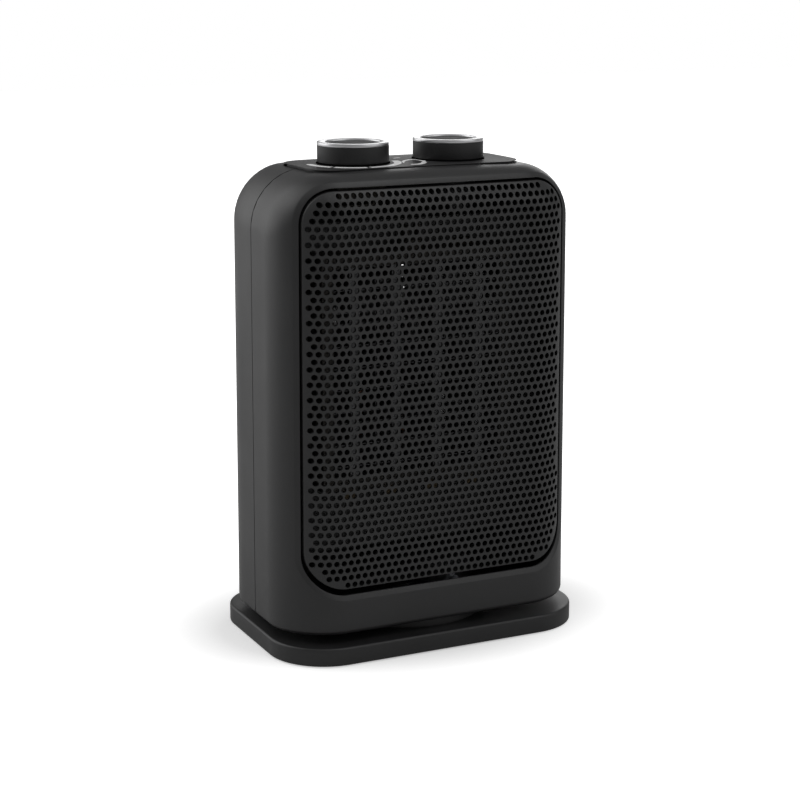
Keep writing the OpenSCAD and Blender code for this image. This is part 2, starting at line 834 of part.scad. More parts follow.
// Half of the hollow housing between y0 and y1, with half of the seam groove at the joint
module half_shell(y0, y1, groove0, groove1) {
    difference() {
        union() {
            body_form(0, groove0, groove1);
            body_form(seam_depth, y0, y1);
        }
        difference() {
            body_form(wall, min(y0, -past), max(y1, past));
            block([-knob_x - pad_reach, -pad_reach, pad_bottom], [knob_x + pad_reach, pad_reach, body_top]);
        }
    }
}

// Space for the control panel in the housing's top
module panel_space() {
    difference() {
        translate([0, 0, pad_bottom])
            linear_extrude(body_top - pad_bottom + past)
                polygon(plan(panel_w + 2 * panel_slit, panel_d + 2 * panel_slit,
                    panel_corner + panel_slit, panel_corner + panel_slit));
        body_form(panel_sink + panel_t, -body_d, body_d);
    }
}

// What both shells are cut with: panel, bushes and the turntable's neck
module shell_cuts() {
    panel_space();
    for (s = [-1, 1]) rod_z(s * knob_x, 0, bush_r + hole_play, pad_bottom - past, body_top + past);
    rod_z(0, 0, neck_d / 2 + hole_play, 0, floor_top + past);
    for (a = [45 : 90 : 315])
        rotate(a) rod_z(table_screw_r, 0, small_screw_d / 2 + hole_play, 0, floor_top + past);
}

boss_spots = [for (s = [-1, 1], z = [low_boss_z, mid_boss_z, high_boss_z]) [s * boss_x, z]];

// The duct's plate is clamped between the bosses above the lowest pair
function boss_end(z) = z > low_boss_z ? -duct_t : 0;

module front_housing() {
    front = -body_d / 2 - past;
    color(shell_colour)
    difference() {
        union() {
            half_shell(front, 0, front, -seam_w / 2);
            intersection() {
                for (p = boss_spots) rod_y(p[0], p[1], boss_r, boss_front, boss_end(p[1]));
                body_form(seam_depth, front, 0);
            }
        }
        shell_cuts();
        along_y(front, grille_back - 0.5) polygon(outlet(outlet_w / 2, outlet_low, outlet_high, 0));
        for (p = boss_spots) rod_y(p[0], p[1], screw_d / 2 + fit, head_seat - screw_length - past, past);
    }
}

module rear_housing() {
    rear = body_d / 2 + past;
    rows = floor(slot_field_d / 2 / slot_pitch);
    rib = 3;
    color(shell_colour)
    difference() {
        union() {
            half_shell(0, rear, seam_w / 2, rear);
            intersection() {
                for (p = boss_spots) rod_y(p[0], p[1], rear_boss_r, 0, rear);
                body_form(seam_depth, 0, rear);
            }
        }
        shell_cuts();
        for (p = boss_spots) {
            rod_y(p[0], p[1], screw_d / 2 + hole_play, -past, rear);
            rod_y(p[0], p[1], head_d / 2 + hole_play, head_seat, rear);
        }
        along_y(inner_y - past, rear)
            for (i = [-rows : rows])
                let (reach = sqrt(max(pow(slot_field_d / 2, 2) - pow(i * slot_pitch, 2), 0)))
                    if (reach > 10) for (s = [0, 1])
                        translate([0, air_z + i * slot_pitch]) mirror([s, 0])
                            slot(rib / 2, reach, slot_h / 2);
        rod_y(-gland_x, body_bottom + gland_z, gland_r + hole_play, inner_y - past, rear);
    }
}

module housing_screws() {
    color(steel)
    for (p = boss_spots)
        screw_y(p[0], head_seat, p[1], screw_length, screw_d, head_d, head_h, true);
}

// Solid form of the grille's tray, drawn in by inset and cut off at back
module grille_form(inset, back) {
    intersection() {
        body_form(grille_set_back + inset, -body_d, back);
        along_y(-body_d, back) polygon(outlet(grille_half, grille_low, grille_high, inset));
    }
}

// Centres of the grille's holes: staggered rows that keep inside the outline
hole_reach = hole_d / 2 + hole_margin;
function row_half(z) =
    let (
        up = max(z - (grille_high - outlet_top_r), 0),
        down = max(grille_low + outlet_bottom_r - z, 0),
        rt = outlet_top_r - hole_reach,
        rb = outlet_bottom_r - hole_reach
    )
    grille_half - hole_reach
        - (up > 0 ? rt - sqrt(max(rt * rt - up * up, 0)) : 0)
        - (down > 0 ? rb - sqrt(max(rb * rb - down * down, 0)) : 0);
hole_rows = floor((grille_high - grille_low - 2 * hole_reach) / row_pitch);
hole_row_low = (grille_high + grille_low - hole_rows * row_pitch) / 2;
hole_spots = [
    for (j = [0 : hole_rows])
        let (z = hole_row_low + j * row_pitch, shift = (j % 2) * 0.5)
            for (i = [-30 : 30])
                let (x = (i + shift) * hole_pitch)
                    if (abs(x) <= row_half(z)) [x, z]
];

module front_grille() {
    color(black)
    difference() {
        union() {
            difference() {
                grille_form(0, grille_back);
                grille_form(grille_t, grille_back + past);
            }
            intersection() {
                along_y(-body_d, grille_back) difference() {
                    polygon(outlet(outlet_w / 2 + grille_flange, outlet_low - grille_flange,
                        outlet_high + grille_flange, 0));
                    polygon(outlet(grille_half, grille_low, grille_high, grille_t / 2));
                }
                difference() {
                    body_form(wall, -body_d, grille_back);
                    body_form(wall + grille_t, -body_d, grille_back + past);
                }
            }
        }
        along_y(-body_d, grille_back + past)
            for (p = hole_spots) translate(p) circle(d = hole_d, $fn = 16);
    }
}

module control_panel() {
    color([0.13, 0.13, 0.135])
    difference() {
        intersection() {
            translate([0, 0, pad_bottom])
                linear_extrude(body_top - pad_bottom + past)
                    polygon(plan(panel_w, panel_d, panel_corner, panel_corner));
            body_form(panel_sink, -body_d, body_d);
        }
        body_form(panel_sink + panel_t, -body_d, body_d);
        for (s = [-1, 1]) {
            rod_z(s * knob_x, 0, bush_r + hole_play, pad_bottom, body_top + past);
            rod_z(s * knob_x, 0, nut_w / 2 + 1, nut_seat, body_top + past);
        }
    }
}

// ---- Controls ----

module control_nuts() {
    color(steel)
    for (s = [-1, 1])
        difference() {
            translate([s * knob_x, 0, nut_seat]) cylinder(d = nut_w, h = nut_h, $fn = 6);
            rod_z(s * knob_x, 0, bush_r + fit, nut_seat - past, nut_seat + nut_h + past);
        }
}

// Mounting plate and threaded bush of a control, with its shaft's bore
module control_mount(x, w) {
    difference() {
        union() {
            block([x - w / 2, -w / 2, pad_bottom - control_plate], [x + w / 2, w / 2, pad_bottom]);
            rod_z(x, 0, bush_r, pad_bottom - past / 2, bush_top);
            children();
        }
        rod_z(x, 0, shaft_r + fit, shaft_bottom - 1, bush_top + past);
    }
}

module thermostat() {
    low = pad_bottom - control_plate - control_h;
    deck = pad_bottom - control_plate;
    color(cream)
    control_mount(-knob_x, min(thermostat_d + 4, 26)) {
        block([-knob_x - thermostat_w / 2, -thermostat_d / 2, low + 6],
            [-knob_x + thermostat_w / 2, thermostat_d / 2, deck + 0.1]);
        for (s = [-1, 1])
            block([-knob_x - thermostat_w / 2 + 1, s * 5 - 3.15, low],
                [-knob_x - thermostat_w / 2 + 1.8, s * 5 + 3.15, low + 6.5]);
        block([-knob_x - thermostat_w / 2 + 4, -4, low + 3], [-knob_x + thermostat_w / 2 - 2, 4, low + 3.8]);
        block([-knob_x + thermostat_w / 2 - 4, -4, low + 3], [-knob_x + thermostat_w / 2 - 2, 4, low + 6.5]);
    }
}

module rotary_switch() {
    low = pad_bottom - control_plate - control_h;
    deck = pad_bottom - control_plate;
    color(white)
    control_mount(knob_x, 24) {
        rod_z(knob_x, 0, switch_d / 2, low + 6, deck + 0.1);
        for (a = [30 : 60 : 330])
            translate([knob_x, 0, 0]) rotate(a)
                block([switch_d / 2 - 4, -3.15, low], [switch_d / 2 - 3.2, 3.15, low + 6.5]);
    }
}

// Round shaft with a flat at its upper end
module control_shaft(x) {
    difference() {
        rod_z(x, 0, shaft_r, shaft_bottom, shaft_top);
        block([x + shaft_r - shaft_flat, -shaft_r - past, bush_top + run_gap],
            [x + shaft_r + past, shaft_r + past, shaft_top + past]);
    }
}

// Hollow knob: skirt, web and a hub whose bore has the shaft's flat
module knob_body(x) {
    hub_low = bush_top + run_gap;
    difference() {
        rod_z(x, 0, knob_r, knob_foot, knob_deck);
        rod_z(x, 0, knob_r - knob_wall, knob_foot - past, shaft_top);
    }
    difference() {
        rod_z(x, 0, shaft_r + 2, hub_low, shaft_top + past / 2);
        difference() {
            rod_z(x, 0, shaft_r + fit, hub_low - past, shaft_top);
            block([x + shaft_r - shaft_flat + fit, -shaft_r - past, hub_low - 2 * past],
                [x + shaft_r + past, shaft_r + past, shaft_top + past]);
        }
    }
}

module knob_ring(x) {
    difference() {
        rod_z(x, 0, knob_r, knob_deck, knob_top);
        rod_z(x, 0, knob_r - ring_w, knob_deck - past, knob_top + past);
    }
}

module knob_cap(x) {
    rod_z(x, 0, knob_r - ring_w - fit, knob_deck, knob_top - cap_sink);
}

module thermostat_knob() { color(black) knob_body(-knob_x); }
module thermostat_knob_ring() { color(aluminium) knob_ring(-knob_x); }
module thermostat_knob_cap() { color([0.2, 0.2, 0.21]) knob_cap(-knob_x); }
module thermostat_shaft() { color(steel) control_shaft(-knob_x); }
module mode_knob() { color(black) knob_body(knob_x); }
module mode_knob_ring() { color(aluminium) knob_ring(knob_x); }
module mode_knob_cap() { color([0.2, 0.2, 0.21]) knob_cap(knob_x); }
module mode_shaft() { color(steel) control_shaft(knob_x); }

// ---- Air duct and heating element ----

frame_screw_spots = [for (sx = [-1, 1], sz = [-1, 1]) [sx * ear_x, air_z + sz * frame_screw_z]];

module air_duct() {
    box_x = ring_r + 1;
    box_z = max(element_h / 2, ring_r + 1);
    bar_h = 18;
    hub_hole = cup_r + 1;
    color([0.16, 0.16, 0.17])
    difference() {
        union() {
            block([-inner_x + run_gap, -duct_t, duct_low], [inner_x - run_gap, 0, duct_high]);
            block([-box_x - duct_t, -duct_t, air_z - box_z - duct_t],
                [box_x + duct_t, ring_plate_front + duct_t, air_z + box_z + duct_t]);
            rod_y(0, air_z, ring_r + duct_t, ring_plate_front, front_bar_front);
            for (p = frame_screw_spots) rod_y(p[0], p[1], 3, -duct_t, 5);
        }
        block([-box_x, 0, air_z - box_z], [box_x, ring_plate_front, air_z + box_z]);
        block([-element_w / 2 + frame_lip, -duct_t - past, element_low + frame_lip],
            [element_w / 2 - frame_lip, past, element_high - frame_lip]);
        difference() {
            rod_y(0, air_z, ring_r, past / 2, front_bar_front + past);
            block([-ring_r - past, spider_front, air_z - bar_h / 2],
                [ring_r + past, front_bar_front, air_z + bar_h / 2]);
            block([-5, spider_front, air_z], [5, front_bar_front, air_z + ring_r + past]);
        }
        rod_y(0, air_z, hub_hole, spider_front - past, front_bar_front + past);
        for (s = [-1, 1])
            rod_y(s * motor_screw_x, air_z, screw_d / 2 + fit, spider_front - past, front_bar_front + past);
        for (p = frame_screw_spots)
            rod_y(p[0], p[1], small_screw_d / 2 + fit, -duct_t - past, 5 + past);
        for (p = boss_spots)
            if (p[1] > low_boss_z) rod_y(p[0], p[1], screw_d / 2 + hole_play, -duct_t - past, past);
    }
}

bar_spots = [for (i = [0 : bar_count - 1]) (i - (bar_count - 1) / 2) * bar_pitch];
tab_y = element_front + 1 + element_d / 2;

module ptc_frame() {
    color([0.12, 0.11, 0.10])
    difference() {
        union() {
            block([-frame_half_w, element_front, air_z - frame_half_h],
                [frame_half_w, -duct_t, air_z + frame_half_h]);
            for (sz = [-1, 1])
                block([-ear_x - frame_ear / 2, -duct_t - frame_ear_t, air_z + sz * frame_screw_z - frame_ear / 2],
                    [ear_x + frame_ear / 2, -duct_t, air_z + sz * frame_screw_z + frame_ear / 2]);
        }
        block([-element_w / 2, element_front - past, element_low], [element_w / 2, element_rear, element_high]);
        block([-element_w / 2 + frame_lip, element_front - past, element_low + frame_lip],
            [element_w / 2 - frame_lip, past, element_high - frame_lip]);
        for (p = frame_screw_spots) rod_y(p[0], p[1], small_screw_d / 2 + hole_play, -duct_t - 3, past);
        for (x = bar_spots)
            block([x - tab_w / 2 - hole_play, tab_y - tab_t / 2 - hole_play, air_z - frame_half_h - past],
                [x + tab_w / 2 + hole_play, tab_y + tab_t / 2 + hole_play, element_low + past]);
    }
}

module ptc_bars() {
    color(aluminium)
    for (x = bar_spots)
        block([x - bar_w / 2, element_front + 1, element_low], [x + bar_w / 2, element_rear, element_high]);
}

// Each bar carries a folded strip on both sides: sheets joined by turns at alternate ends
module ptc_fins() {
    depth_low = element_front + 1;
    side = 0.25;
    strip_w = (bar_pitch - bar_w) / 2 - side;
    sheets = floor((element_h - fin_t) / fin_pitch);
    step = (element_h - fin_t) / sheets;
    color(aluminium)
    along_y(depth_low, element_rear)
        for (x = bar_spots, s = [0, 1])
            translate([x, element_low]) mirror([s, 0]) {
                for (i = [0 : sheets]) translate([bar_w / 2, i * step]) square([strip_w + side, fin_t]);
                for (i = [0 : 2 : sheets - 1]) translate([bar_w / 2, i * step]) square([fin_t, step + fin_t]);
                translate([bar_w / 2 + strip_w, 0]) square([side, element_h]);
            }
}

module ptc_terminals() {
    color(brass)
    for (x = bar_spots)
        block([x - tab_w / 2, tab_y - tab_t / 2, air_z - frame_half_h - tab_l],
            [x + tab_w / 2, tab_y + tab_t / 2, element_low]);
}

module ptc_screws() {
    color(steel)
    for (p = frame_screw_spots)
        screw_y(p[0], -duct_t - frame_ear_t, p[1], frame_ear_t + 3 * duct_t, small_screw_d, small_head_d, 1.4, false);
}

module thermal_cutout() {
    seat = air_z + frame_half_h;
    y = (element_front - duct_t) / 2;
    color(cream) {
        rod_z(0, y, cutout_d / 2, seat, seat + 2.5 * duct_t);
        for (s = [-1, 1])
            block([s * cutout_d / 4 - 0.4, y - 3.15, seat + 5], [s * cutout_d / 4 + 0.4, y + 3.15, seat + 12]);
    }
}

module thermal_fuse() {
    seat = air_z + frame_half_h;
    y = (element_front - duct_t) / 2;
    color(white) {
        translate([22, y, seat + fuse_d / 2]) rotate([0, 90, 0]) cylinder(d = fuse_d, h = 12);
        translate([16, y, seat + fuse_d / 2]) rotate([0, 90, 0]) cylinder(d = 0.9, h = 24);
    }
}

// ---- Fan and its motor ----

// One bracket: a bar across the core, two legs on it and a cup for the bearing
module motor_bracket(bar0, bar1, leg0, leg1, cup0, cup1) {
    difference() {
        union() {
            along_y(bar0, bar1) translate([0, air_z]) difference() {
                square([2 * motor_screw_x + bracket_w - 1, bracket_w], center = true);
                circle(bearing_d / 4);
            }
            for (s = [-1, 1]) rod_y(s * motor_screw_x, air_z, screw_d / 2 + 2.4, leg0, leg1);
            rod_y(0, air_z, cup_r, cup0, cup1);
        }
        for (s = [-1, 1])
            rod_y(s * motor_screw_x, air_z, screw_d / 2 + hole_play, leg0 - core_side, leg1 + core_side);
        children();
    }
}

front_cup_end = front_bar_front + bearing_l + 1;
rear_cup_front = rear_bar_back - bearing_l - 0.4;

module motor_front_bracket() {
    color(steel)
    motor_bracket(front_bar_front, front_bar_back, front_bar_front + 1, core_front, front_bar_front, front_cup_end) {
        rod_y(0, air_z, bearing_d / 2 + fit / 2, front_bar_front + 1, front_cup_end + past);
        rod_y(0, air_z, motor_shaft_d / 2 + 0.7, front_bar_front - past, front_cup_end);
    }
}

module motor_rear_bracket() {
    color(steel)
    motor_bracket(rear_bar_front, rear_bar_back, core_back, rear_bar_back - 1, rear_cup_front, rear_bar_back + 0.8) {
        rod_y(0, air_z, bearing_d / 2 + fit / 2, rear_cup_front - past, rear_bar_back - 0.4);
        rod_y(0, air_z, motor_shaft_d / 2 + 0.7, rear_cup_front, rear_bar_back + 2 * past);
    }
}

module motor_bearings() {
    color(brass)
    for (y = [front_bar_front + 1, rear_bar_back - 0.4 - bearing_l])
        difference() {
            rod_y(0, air_z, bearing_d / 2, y, y + bearing_l);
            rod_y(0, air_z, motor_shaft_d / 2 + fit, y - past, y + bearing_l + past);
        }
}

leg_low = -core_down;
leg_high = coil_leg - core_down;
pole_low = leg_high + coil_window;

module motor_core() {
    hw = core_w / 2;
    color([0.42, 0.42, 0.44])
    difference() {
        along_y(core_front, core_back) translate([0, air_z]) difference() {
            translate([-hw, leg_low]) square([core_w, core_up - leg_low]);
            translate([-hw + core_side, leg_high]) square([core_w - 2 * core_side, pole_low - leg_high]);
        }
        rod_y(0, air_z, rotor_d / 2 + rotor_gap, core_front - past, core_back + past);
        for (s = [-1, 1])
            rod_y(s * motor_screw_x, air_z, screw_d / 2 + hole_play, core_front - past, core_back + past);
    }
}

module motor_coil() {
    coil_x = core_w / 2 - core_side - 2;
    color(copper)
    along_x(-coil_x, coil_x) translate([0, air_z]) difference() {
        translate([core_front - winding, leg_low - winding])
            square([core_t + 2 * winding, leg_high - leg_low + 2 * winding]);
        translate([core_front, leg_low]) square([core_t, leg_high - leg_low]);
    }
}

module motor_screws() {
    color(steel)
    for (s = [-1, 1])
        screw_y(s * motor_screw_x, rear_bar_back, air_z, rear_bar_back - spider_front - 0.3,
            screw_d, head_d, head_h, true);
}

module motor_shaft() {
    color(steel) {
        rod_y(0, air_z, motor_shaft_d / 2, fan_front + 2, rear_bar_back - 0.2);
        rod_y(0, air_z, motor_shaft_d / 2 + 0.9, core_front - 1 + run_gap, core_front);
    }
}

module motor_rotor() {
    color(steel)
    difference() {
        rod_y(0, air_z, rotor_d / 2, core_front, core_back);
        rod_y(0, air_z, motor_shaft_d / 2 + fit / 2, core_front - past, core_back + past);
    }
}

module fan_wheel() {
    color([0.10, 0.10, 0.11])
    difference() {
        union() {
            rod_y(0, air_z, fan_hub_d / 2, fan_front, fan_back);
            intersection() {
                difference() {
                    rod_y(0, air_z, fan_d / 2, fan_front + 1, fan_back - 1);
                    rod_y(0, air_z, fan_hub_d / 2 - 1, fan_front, fan_back);
                }
                for (i = [0 : blade_count - 1])
                    translate([0, (fan_front + fan_back) / 2, air_z]) rotate([0, i * 360 / blade_count, 0])
                        translate([fan_d / 4, 0, 0]) rotate([90 - blade_angle, 0, 0])
                            cube([fan_d / 2, 2 * fan_depth, blade_t], center = true);
            }
        }
        rod_y(0, air_z, fan_hub_d / 2 - 2.5, fan_front + 5, fan_back + past);
        rod_y(0, air_z, motor_shaft_d / 2 + fit / 2, fan_front + 2, fan_back + past);
    }
}

// ---- Electrical parts at the bottom ----

module terminal_block() {
    x = -(boss_x - rear_boss_r - 3) + terminal_w;
    y = 4;
    ways = 3;
    color(white)
    difference() {
        block([x - terminal_w, y, floor_top], [x, y + ways * terminal_way, floor_top + terminal_h]);
        for (i = [0 : ways - 1], across = [0.25, 0.75])
            rod_z(x - terminal_w * across, y + (i + 0.5) * terminal_way, terminal_way / 5,
                floor_top + 3, floor_top + terminal_h + past);
    }
}

module cord_gland() {
    color(black)
    difference() {
        union() {
            rod_y(-gland_x, body_bottom + gland_z, gland_r, gland_y - 9.5, gland_y + 1.5);
            rod_y(-gland_x, body_bottom + gland_z, gland_r + gland_collar, gland_y, gland_y + 1.5);
        }
        rod_y(-gland_x, body_bottom + gland_z, cord_d / 2 + 0.1, gland_y - 20, gland_y + 2 * past);
    }
}

module gland_nut() {
    nut_d = 2 * gland_r + 5;
    color(black)
    difference() {
        along_y(inner_y - 3, inner_y) translate([-gland_x, body_bottom + gland_z]) circle(d = nut_d, $fn = 6);
        rod_y(-gland_x, body_bottom + gland_z, gland_r + fit, inner_y - 3 - past, inner_y + past);
    }
}

base_shell();
base_cover();
rubber_feet();
base_screws();
glide_ring();
pivot_clip();
tip_over_switch();
tip_over_spring();
tip_over_plunger();
turntable();
turntable_screws();
front_housing();
rear_housing();
housing_screws();
front_grille();
control_panel();
control_nuts();
thermostat();
rotary_switch();
air_duct();
ptc_frame();
ptc_bars();
ptc_fins();
ptc_terminals();
ptc_screws();
thermal_cutout();
thermal_fuse();
motor_front_bracket();
motor_rear_bracket();
motor_bearings();
motor_core();
motor_coil();
motor_screws();
swing_motor();
swing_motor_screws();
terminal_block();
cord_gland();
gland_nut();
crank_arm();
crank_shaft();
fan_wheel();
motor_rotor();
motor_shaft();
thermostat_knob();
thermostat_knob_ring();
thermostat_knob_cap();
thermostat_shaft();
mode_knob();
mode_knob_ring();
mode_knob_cap();
mode_shaft();
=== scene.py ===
"""A ceramic space heater that swings on a flat base: its looks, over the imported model's frame."""
import math
import bpy
import numpy as np
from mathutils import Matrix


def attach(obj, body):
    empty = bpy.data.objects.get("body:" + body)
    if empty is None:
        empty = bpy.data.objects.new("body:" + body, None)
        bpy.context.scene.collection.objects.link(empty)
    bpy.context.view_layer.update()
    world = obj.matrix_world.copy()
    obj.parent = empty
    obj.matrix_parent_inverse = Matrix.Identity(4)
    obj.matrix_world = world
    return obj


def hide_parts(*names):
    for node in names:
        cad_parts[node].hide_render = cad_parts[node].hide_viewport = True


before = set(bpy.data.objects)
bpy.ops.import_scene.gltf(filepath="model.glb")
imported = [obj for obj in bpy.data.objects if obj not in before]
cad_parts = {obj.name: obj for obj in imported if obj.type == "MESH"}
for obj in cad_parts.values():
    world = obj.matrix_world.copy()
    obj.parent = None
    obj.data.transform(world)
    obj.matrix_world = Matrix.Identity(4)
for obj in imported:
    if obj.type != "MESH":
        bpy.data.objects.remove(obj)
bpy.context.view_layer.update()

# ---- Camera ----
# A long lens, to the left of the heater and a little above it, that looks slightly down.
# Colours are shown as they are, without a film curve.

camera_data = bpy.data.cameras.new("camera")
camera_data.lens = 86.56
camera_data.sensor_width = 36
camera = bpy.data.objects.new("camera", camera_data)
camera.location = (-0.41785, -0.86344, 0.33942)
camera.rotation_euler = (math.radians(76.955), 0, math.radians(-25.793))
bpy.context.scene.collection.objects.link(camera)
bpy.context.scene.camera = camera
bpy.context.scene.view_settings.view_transform = "Standard"

# ---- Light, backdrop and floor ----
# A white studio: soft panels behind the heater on both sides, above its left, on its right, overhead and in
# front. The backdrop is the world itself, white where the camera sees it. The floor is a sheet that keeps the
# cast shadow round the base; its glow is weak near the base, a painted shade there, and brightens to white
# away from it.

LIT_POINT = np.array([0, 0, 0.12])
WHITE = (1, 1, 1, 1)


def soft_panel(name, place, size, level):
    """A square panel of that size, turned towards the middle of the heater. Its power is its brightness times
    its area times pi, so that it looks equally bright at any size."""
    data = bpy.data.lights.new(name, "AREA")
    data.shape = "SQUARE"
    data.size = size
    data.energy = level * math.pi * size * size
    light = bpy.data.objects.new(name, data)
    light.location = place
    x, y, z = LIT_POINT - np.array(place)
    light.rotation_euler = (math.atan2(math.hypot(x, y), -z), 0, math.atan2(y, x) - math.pi / 2)
    bpy.context.scene.collection.objects.link(light)


def set_inputs(node, values):
    """Sets a shading node's inputs, given by their names."""
    for name, value in values.items():
        node.inputs[name].default_value = value


def split_by_ray(tree, light, picture, output):
    """Shows the camera one shader, the picture, and lets the other one light and reflect in the pieces."""
    ray = tree.nodes.new("ShaderNodeLightPath")
    choice = tree.nodes.new("ShaderNodeMixShader")
    tree.links.new(ray.outputs["Is Camera Ray"], choice.inputs["Fac"])
    tree.links.new(light, choice.inputs[1])
    tree.links.new(picture, choice.inputs[2])
    tree.links.new(choice.outputs["Shader"], tree.nodes[output].inputs["Surface"])


soft_panel("panel_back_left", (-1.25, 1.3, 0.75), 2.0, 1.18)
soft_panel("panel_top_left", (-0.8, 0.4, 1.25), 0.9, 0.9)
soft_panel("panel_back_right", (1.1, 1.4, 0.45), 1.0, 1.7)
soft_panel("panel_right", (1.3, -0.95, 0.6), 0.9, 0.65)
soft_panel("panel_overhead", (0.3, -0.5, 1.4), 0.9, 1.45)
soft_panel("panel_front", (0.7, -1.55, 0.85), 0.7, 1.1)

world = bpy.data.worlds.new("studio")
bpy.context.scene.world = world
world.use_nodes = True
backdrop = world.node_tree.nodes["Background"]
set_inputs(backdrop, {"Color": WHITE, "Strength": 1})
room = world.node_tree.nodes.new("ShaderNodeBackground")
set_inputs(room, {"Color": WHITE, "Strength": 0.28})
split_by_ray(world.node_tree, room.outputs["Background"], backdrop.outputs["Background"], "World Output")

floor_mesh = bpy.data.meshes.new("floor")
floor_mesh.from_pydata([(-4, -4, 0), (4, -4, 0), (4, 4, 0), (-4, 4, 0)], [], [(0, 1, 2, 3)])
floor = bpy.data.objects.new("floor", floor_mesh)
bpy.context.scene.collection.objects.link(floor)
floor_white = bpy.data.materials.new("floor_white")
floor_white.use_nodes = True
nodes, links = floor_white.node_tree.nodes, floor_white.node_tree.links
sheet = nodes["Principled BSDF"]
set_inputs(sheet, {"Base Color": (0.8, 0.8, 0.8, 1), "Roughness": 0.9, "Specular IOR Level": 0})

# What the camera sees of the sheet also glows, the more the farther it lies from an oval round the base: the
# weak glow near the base is a painted shade round it.
place = nodes.new("ShaderNodeTexCoord")
oval = nodes.new("ShaderNodeMapping")
set_inputs(oval, {"Location": (0, -0.01, 0), "Scale": (0.72, 1.05, 1)})
links.new(place.outputs["Object"], oval.inputs["Vector"])
away = nodes.new("ShaderNodeVectorMath")
away.operation = "LENGTH"
links.new(oval.outputs["Vector"], away.inputs[0])
# The glow starts weak near the base, as painted shade, and rises to white farther out.
painted_shade_rise = nodes.new("ShaderNodeMapRange")
set_inputs(painted_shade_rise, {"From Min": 0.068, "From Max": 0.13, "To Min": 0.4, "To Max": 1.1})
links.new(away.outputs["Value"], painted_shade_rise.inputs["Value"])
glow = nodes.new("ShaderNodeEmission")
links.new(painted_shade_rise.outputs["Result"], glow.inputs["Strength"])
both = nodes.new("ShaderNodeAddShader")
links.new(sheet.outputs["BSDF"], both.inputs[0])
links.new(glow.outputs["Emission"], both.inputs[1])
split_by_ray(floor_white.node_tree, sheet.outputs["BSDF"], both.outputs["Shader"], "Material Output")
floor_mesh.materials.append(floor_white)

# ---- Front shell ----
# The front half of the housing: moulded black ABS, satin with a fine spark texture, a wall of 2.4 mm.
# It wraps the air outlet, whose edge is chamfered down into the slit round the grille, and six bosses
# stand inside it for the long screws from the rear.

MM = 0.001
SHARP = 35  # an edge that turns by more degrees stays sharp
NUDGE = 0.05  # half the step over which a slope is measured
WALL = 2.4
TOP, BOTTOM = 239.3, 13.8
FLAT, CORNER, STRAIGHT = 50, 30.5, 17.0  # half the front's flat, a corner's radius, the flat up to the seam
ARC_END = round(FLAT + CORNER * math.pi / 2, 2)  # way along the skin to a corner's far end
SEAM = ARC_END + STRAIGHT
FLARE = 1.3  # how much farther out each side stands at the bottom
BEND, SWIVEL_HOLE = 3, 39.4  # radii of the bottom edge and of the hole round the swivel
ROLL_FRONT, ROLL_SIDE = 19.0, 28.3
GROW_FROM, GROW_OVER = 45, 52.9  # way along the skin where the roll starts to grow, and for how long
FIELD_X, FIELD_Y = FLAT + CORNER - ROLL_SIDE, STRAIGHT + CORNER - ROLL_FRONT  # half the top between the rolls
ARCH_X, ARCH_Y = 0.8, 0.4  # the top's fall from its middle to the ends of that field
CORE_X, CORE_Y, OPENING_R = 42.8, 12.3, 14.4  # the panel's opening: a core box, widened by its radius
EDGE_SHORT, EDGE_RISE = 1.0, 0.05  # the roll stops short of the opening, whose edge stands a little higher
LEDGE, LEDGE_DEPTH = 3, 1.4  # the ledge that the panel sits on
GROOVE, GROOVE_DEPTH = 0.6, 1.0  # between the two shells
LIP = (SEAM - GROOVE / 2) / SEAM  # share of the way to the seam where the skin turns into the groove
OUTLET = (71.2, 33.9, 232.5, 20.5, 17.5)  # half width, foot, head, lower and upper corners' radii
CHAMFER = ((0, 1.7), (0.05, 1.45), (0.15, 1.28), (0.3, 1.17), (0.5, 1.06),
    (2.35, 0.12), (2.55, 0.04), (2.75, 0.0))  # how far beyond the outlet, and how far behind the skin
INSIDE_EDGE = 4.2  # how far beyond the outlet the wall's inside starts
BOSS_PLACES = [(x, z) for x in (-75.0, 75.0) for z in (29.1, 118.0, 205.0)]
BOSS_R, BOSS_ROOT, PILOT_R, PILOT_END = 4.3, 31, 1.6, 25
BOSS_FACE, BOSS_LIMIT = 0.3, 79  # how near the seam a boss's face comes, and how far out its wall may reach


def smooth(w):
    """Eases from 0 to 1: three times the square of w less twice its cube, with w kept between 0 and 1."""
    w = np.clip(w, 0, 1)
    return w * w * (3 - 2 * w)


def spread(z):
    """How much wider the housing grows towards the bottom: 161 mm at the top, 163.6 mm at the bottom."""
    return 1 + FLARE / (FLAT + CORNER) * (TOP - z) / (TOP - BOTTOM)


def plan(s):
    """Seen from above, the housing is a rectangle of 161 by 95 mm with corners of radius 30.5.
    s is the distance along it from the middle of the front. Gives the place and the outward direction."""
    a = np.abs(s)
    turn = np.clip((a - FLAT) / CORNER, 0, math.pi / 2)
    x = np.minimum(a, FLAT) + CORNER * np.sin(turn)
    y = -STRAIGHT - CORNER * np.cos(turn) + np.maximum(a - ARC_END, 0)
    side = np.where(s < 0, -1.0, 1.0)
    return side * x, y, side * np.sin(turn), -np.cos(turn)


def crown(x, y):
    """Height of the top: a shallow arch from side to side, and a slighter one from front to rear, each
    falling with the square of the distance from the middle."""
    return TOP - ARCH_X * (x / FIELD_X) ** 2 - ARCH_Y * (y / FIELD_Y) ** 2


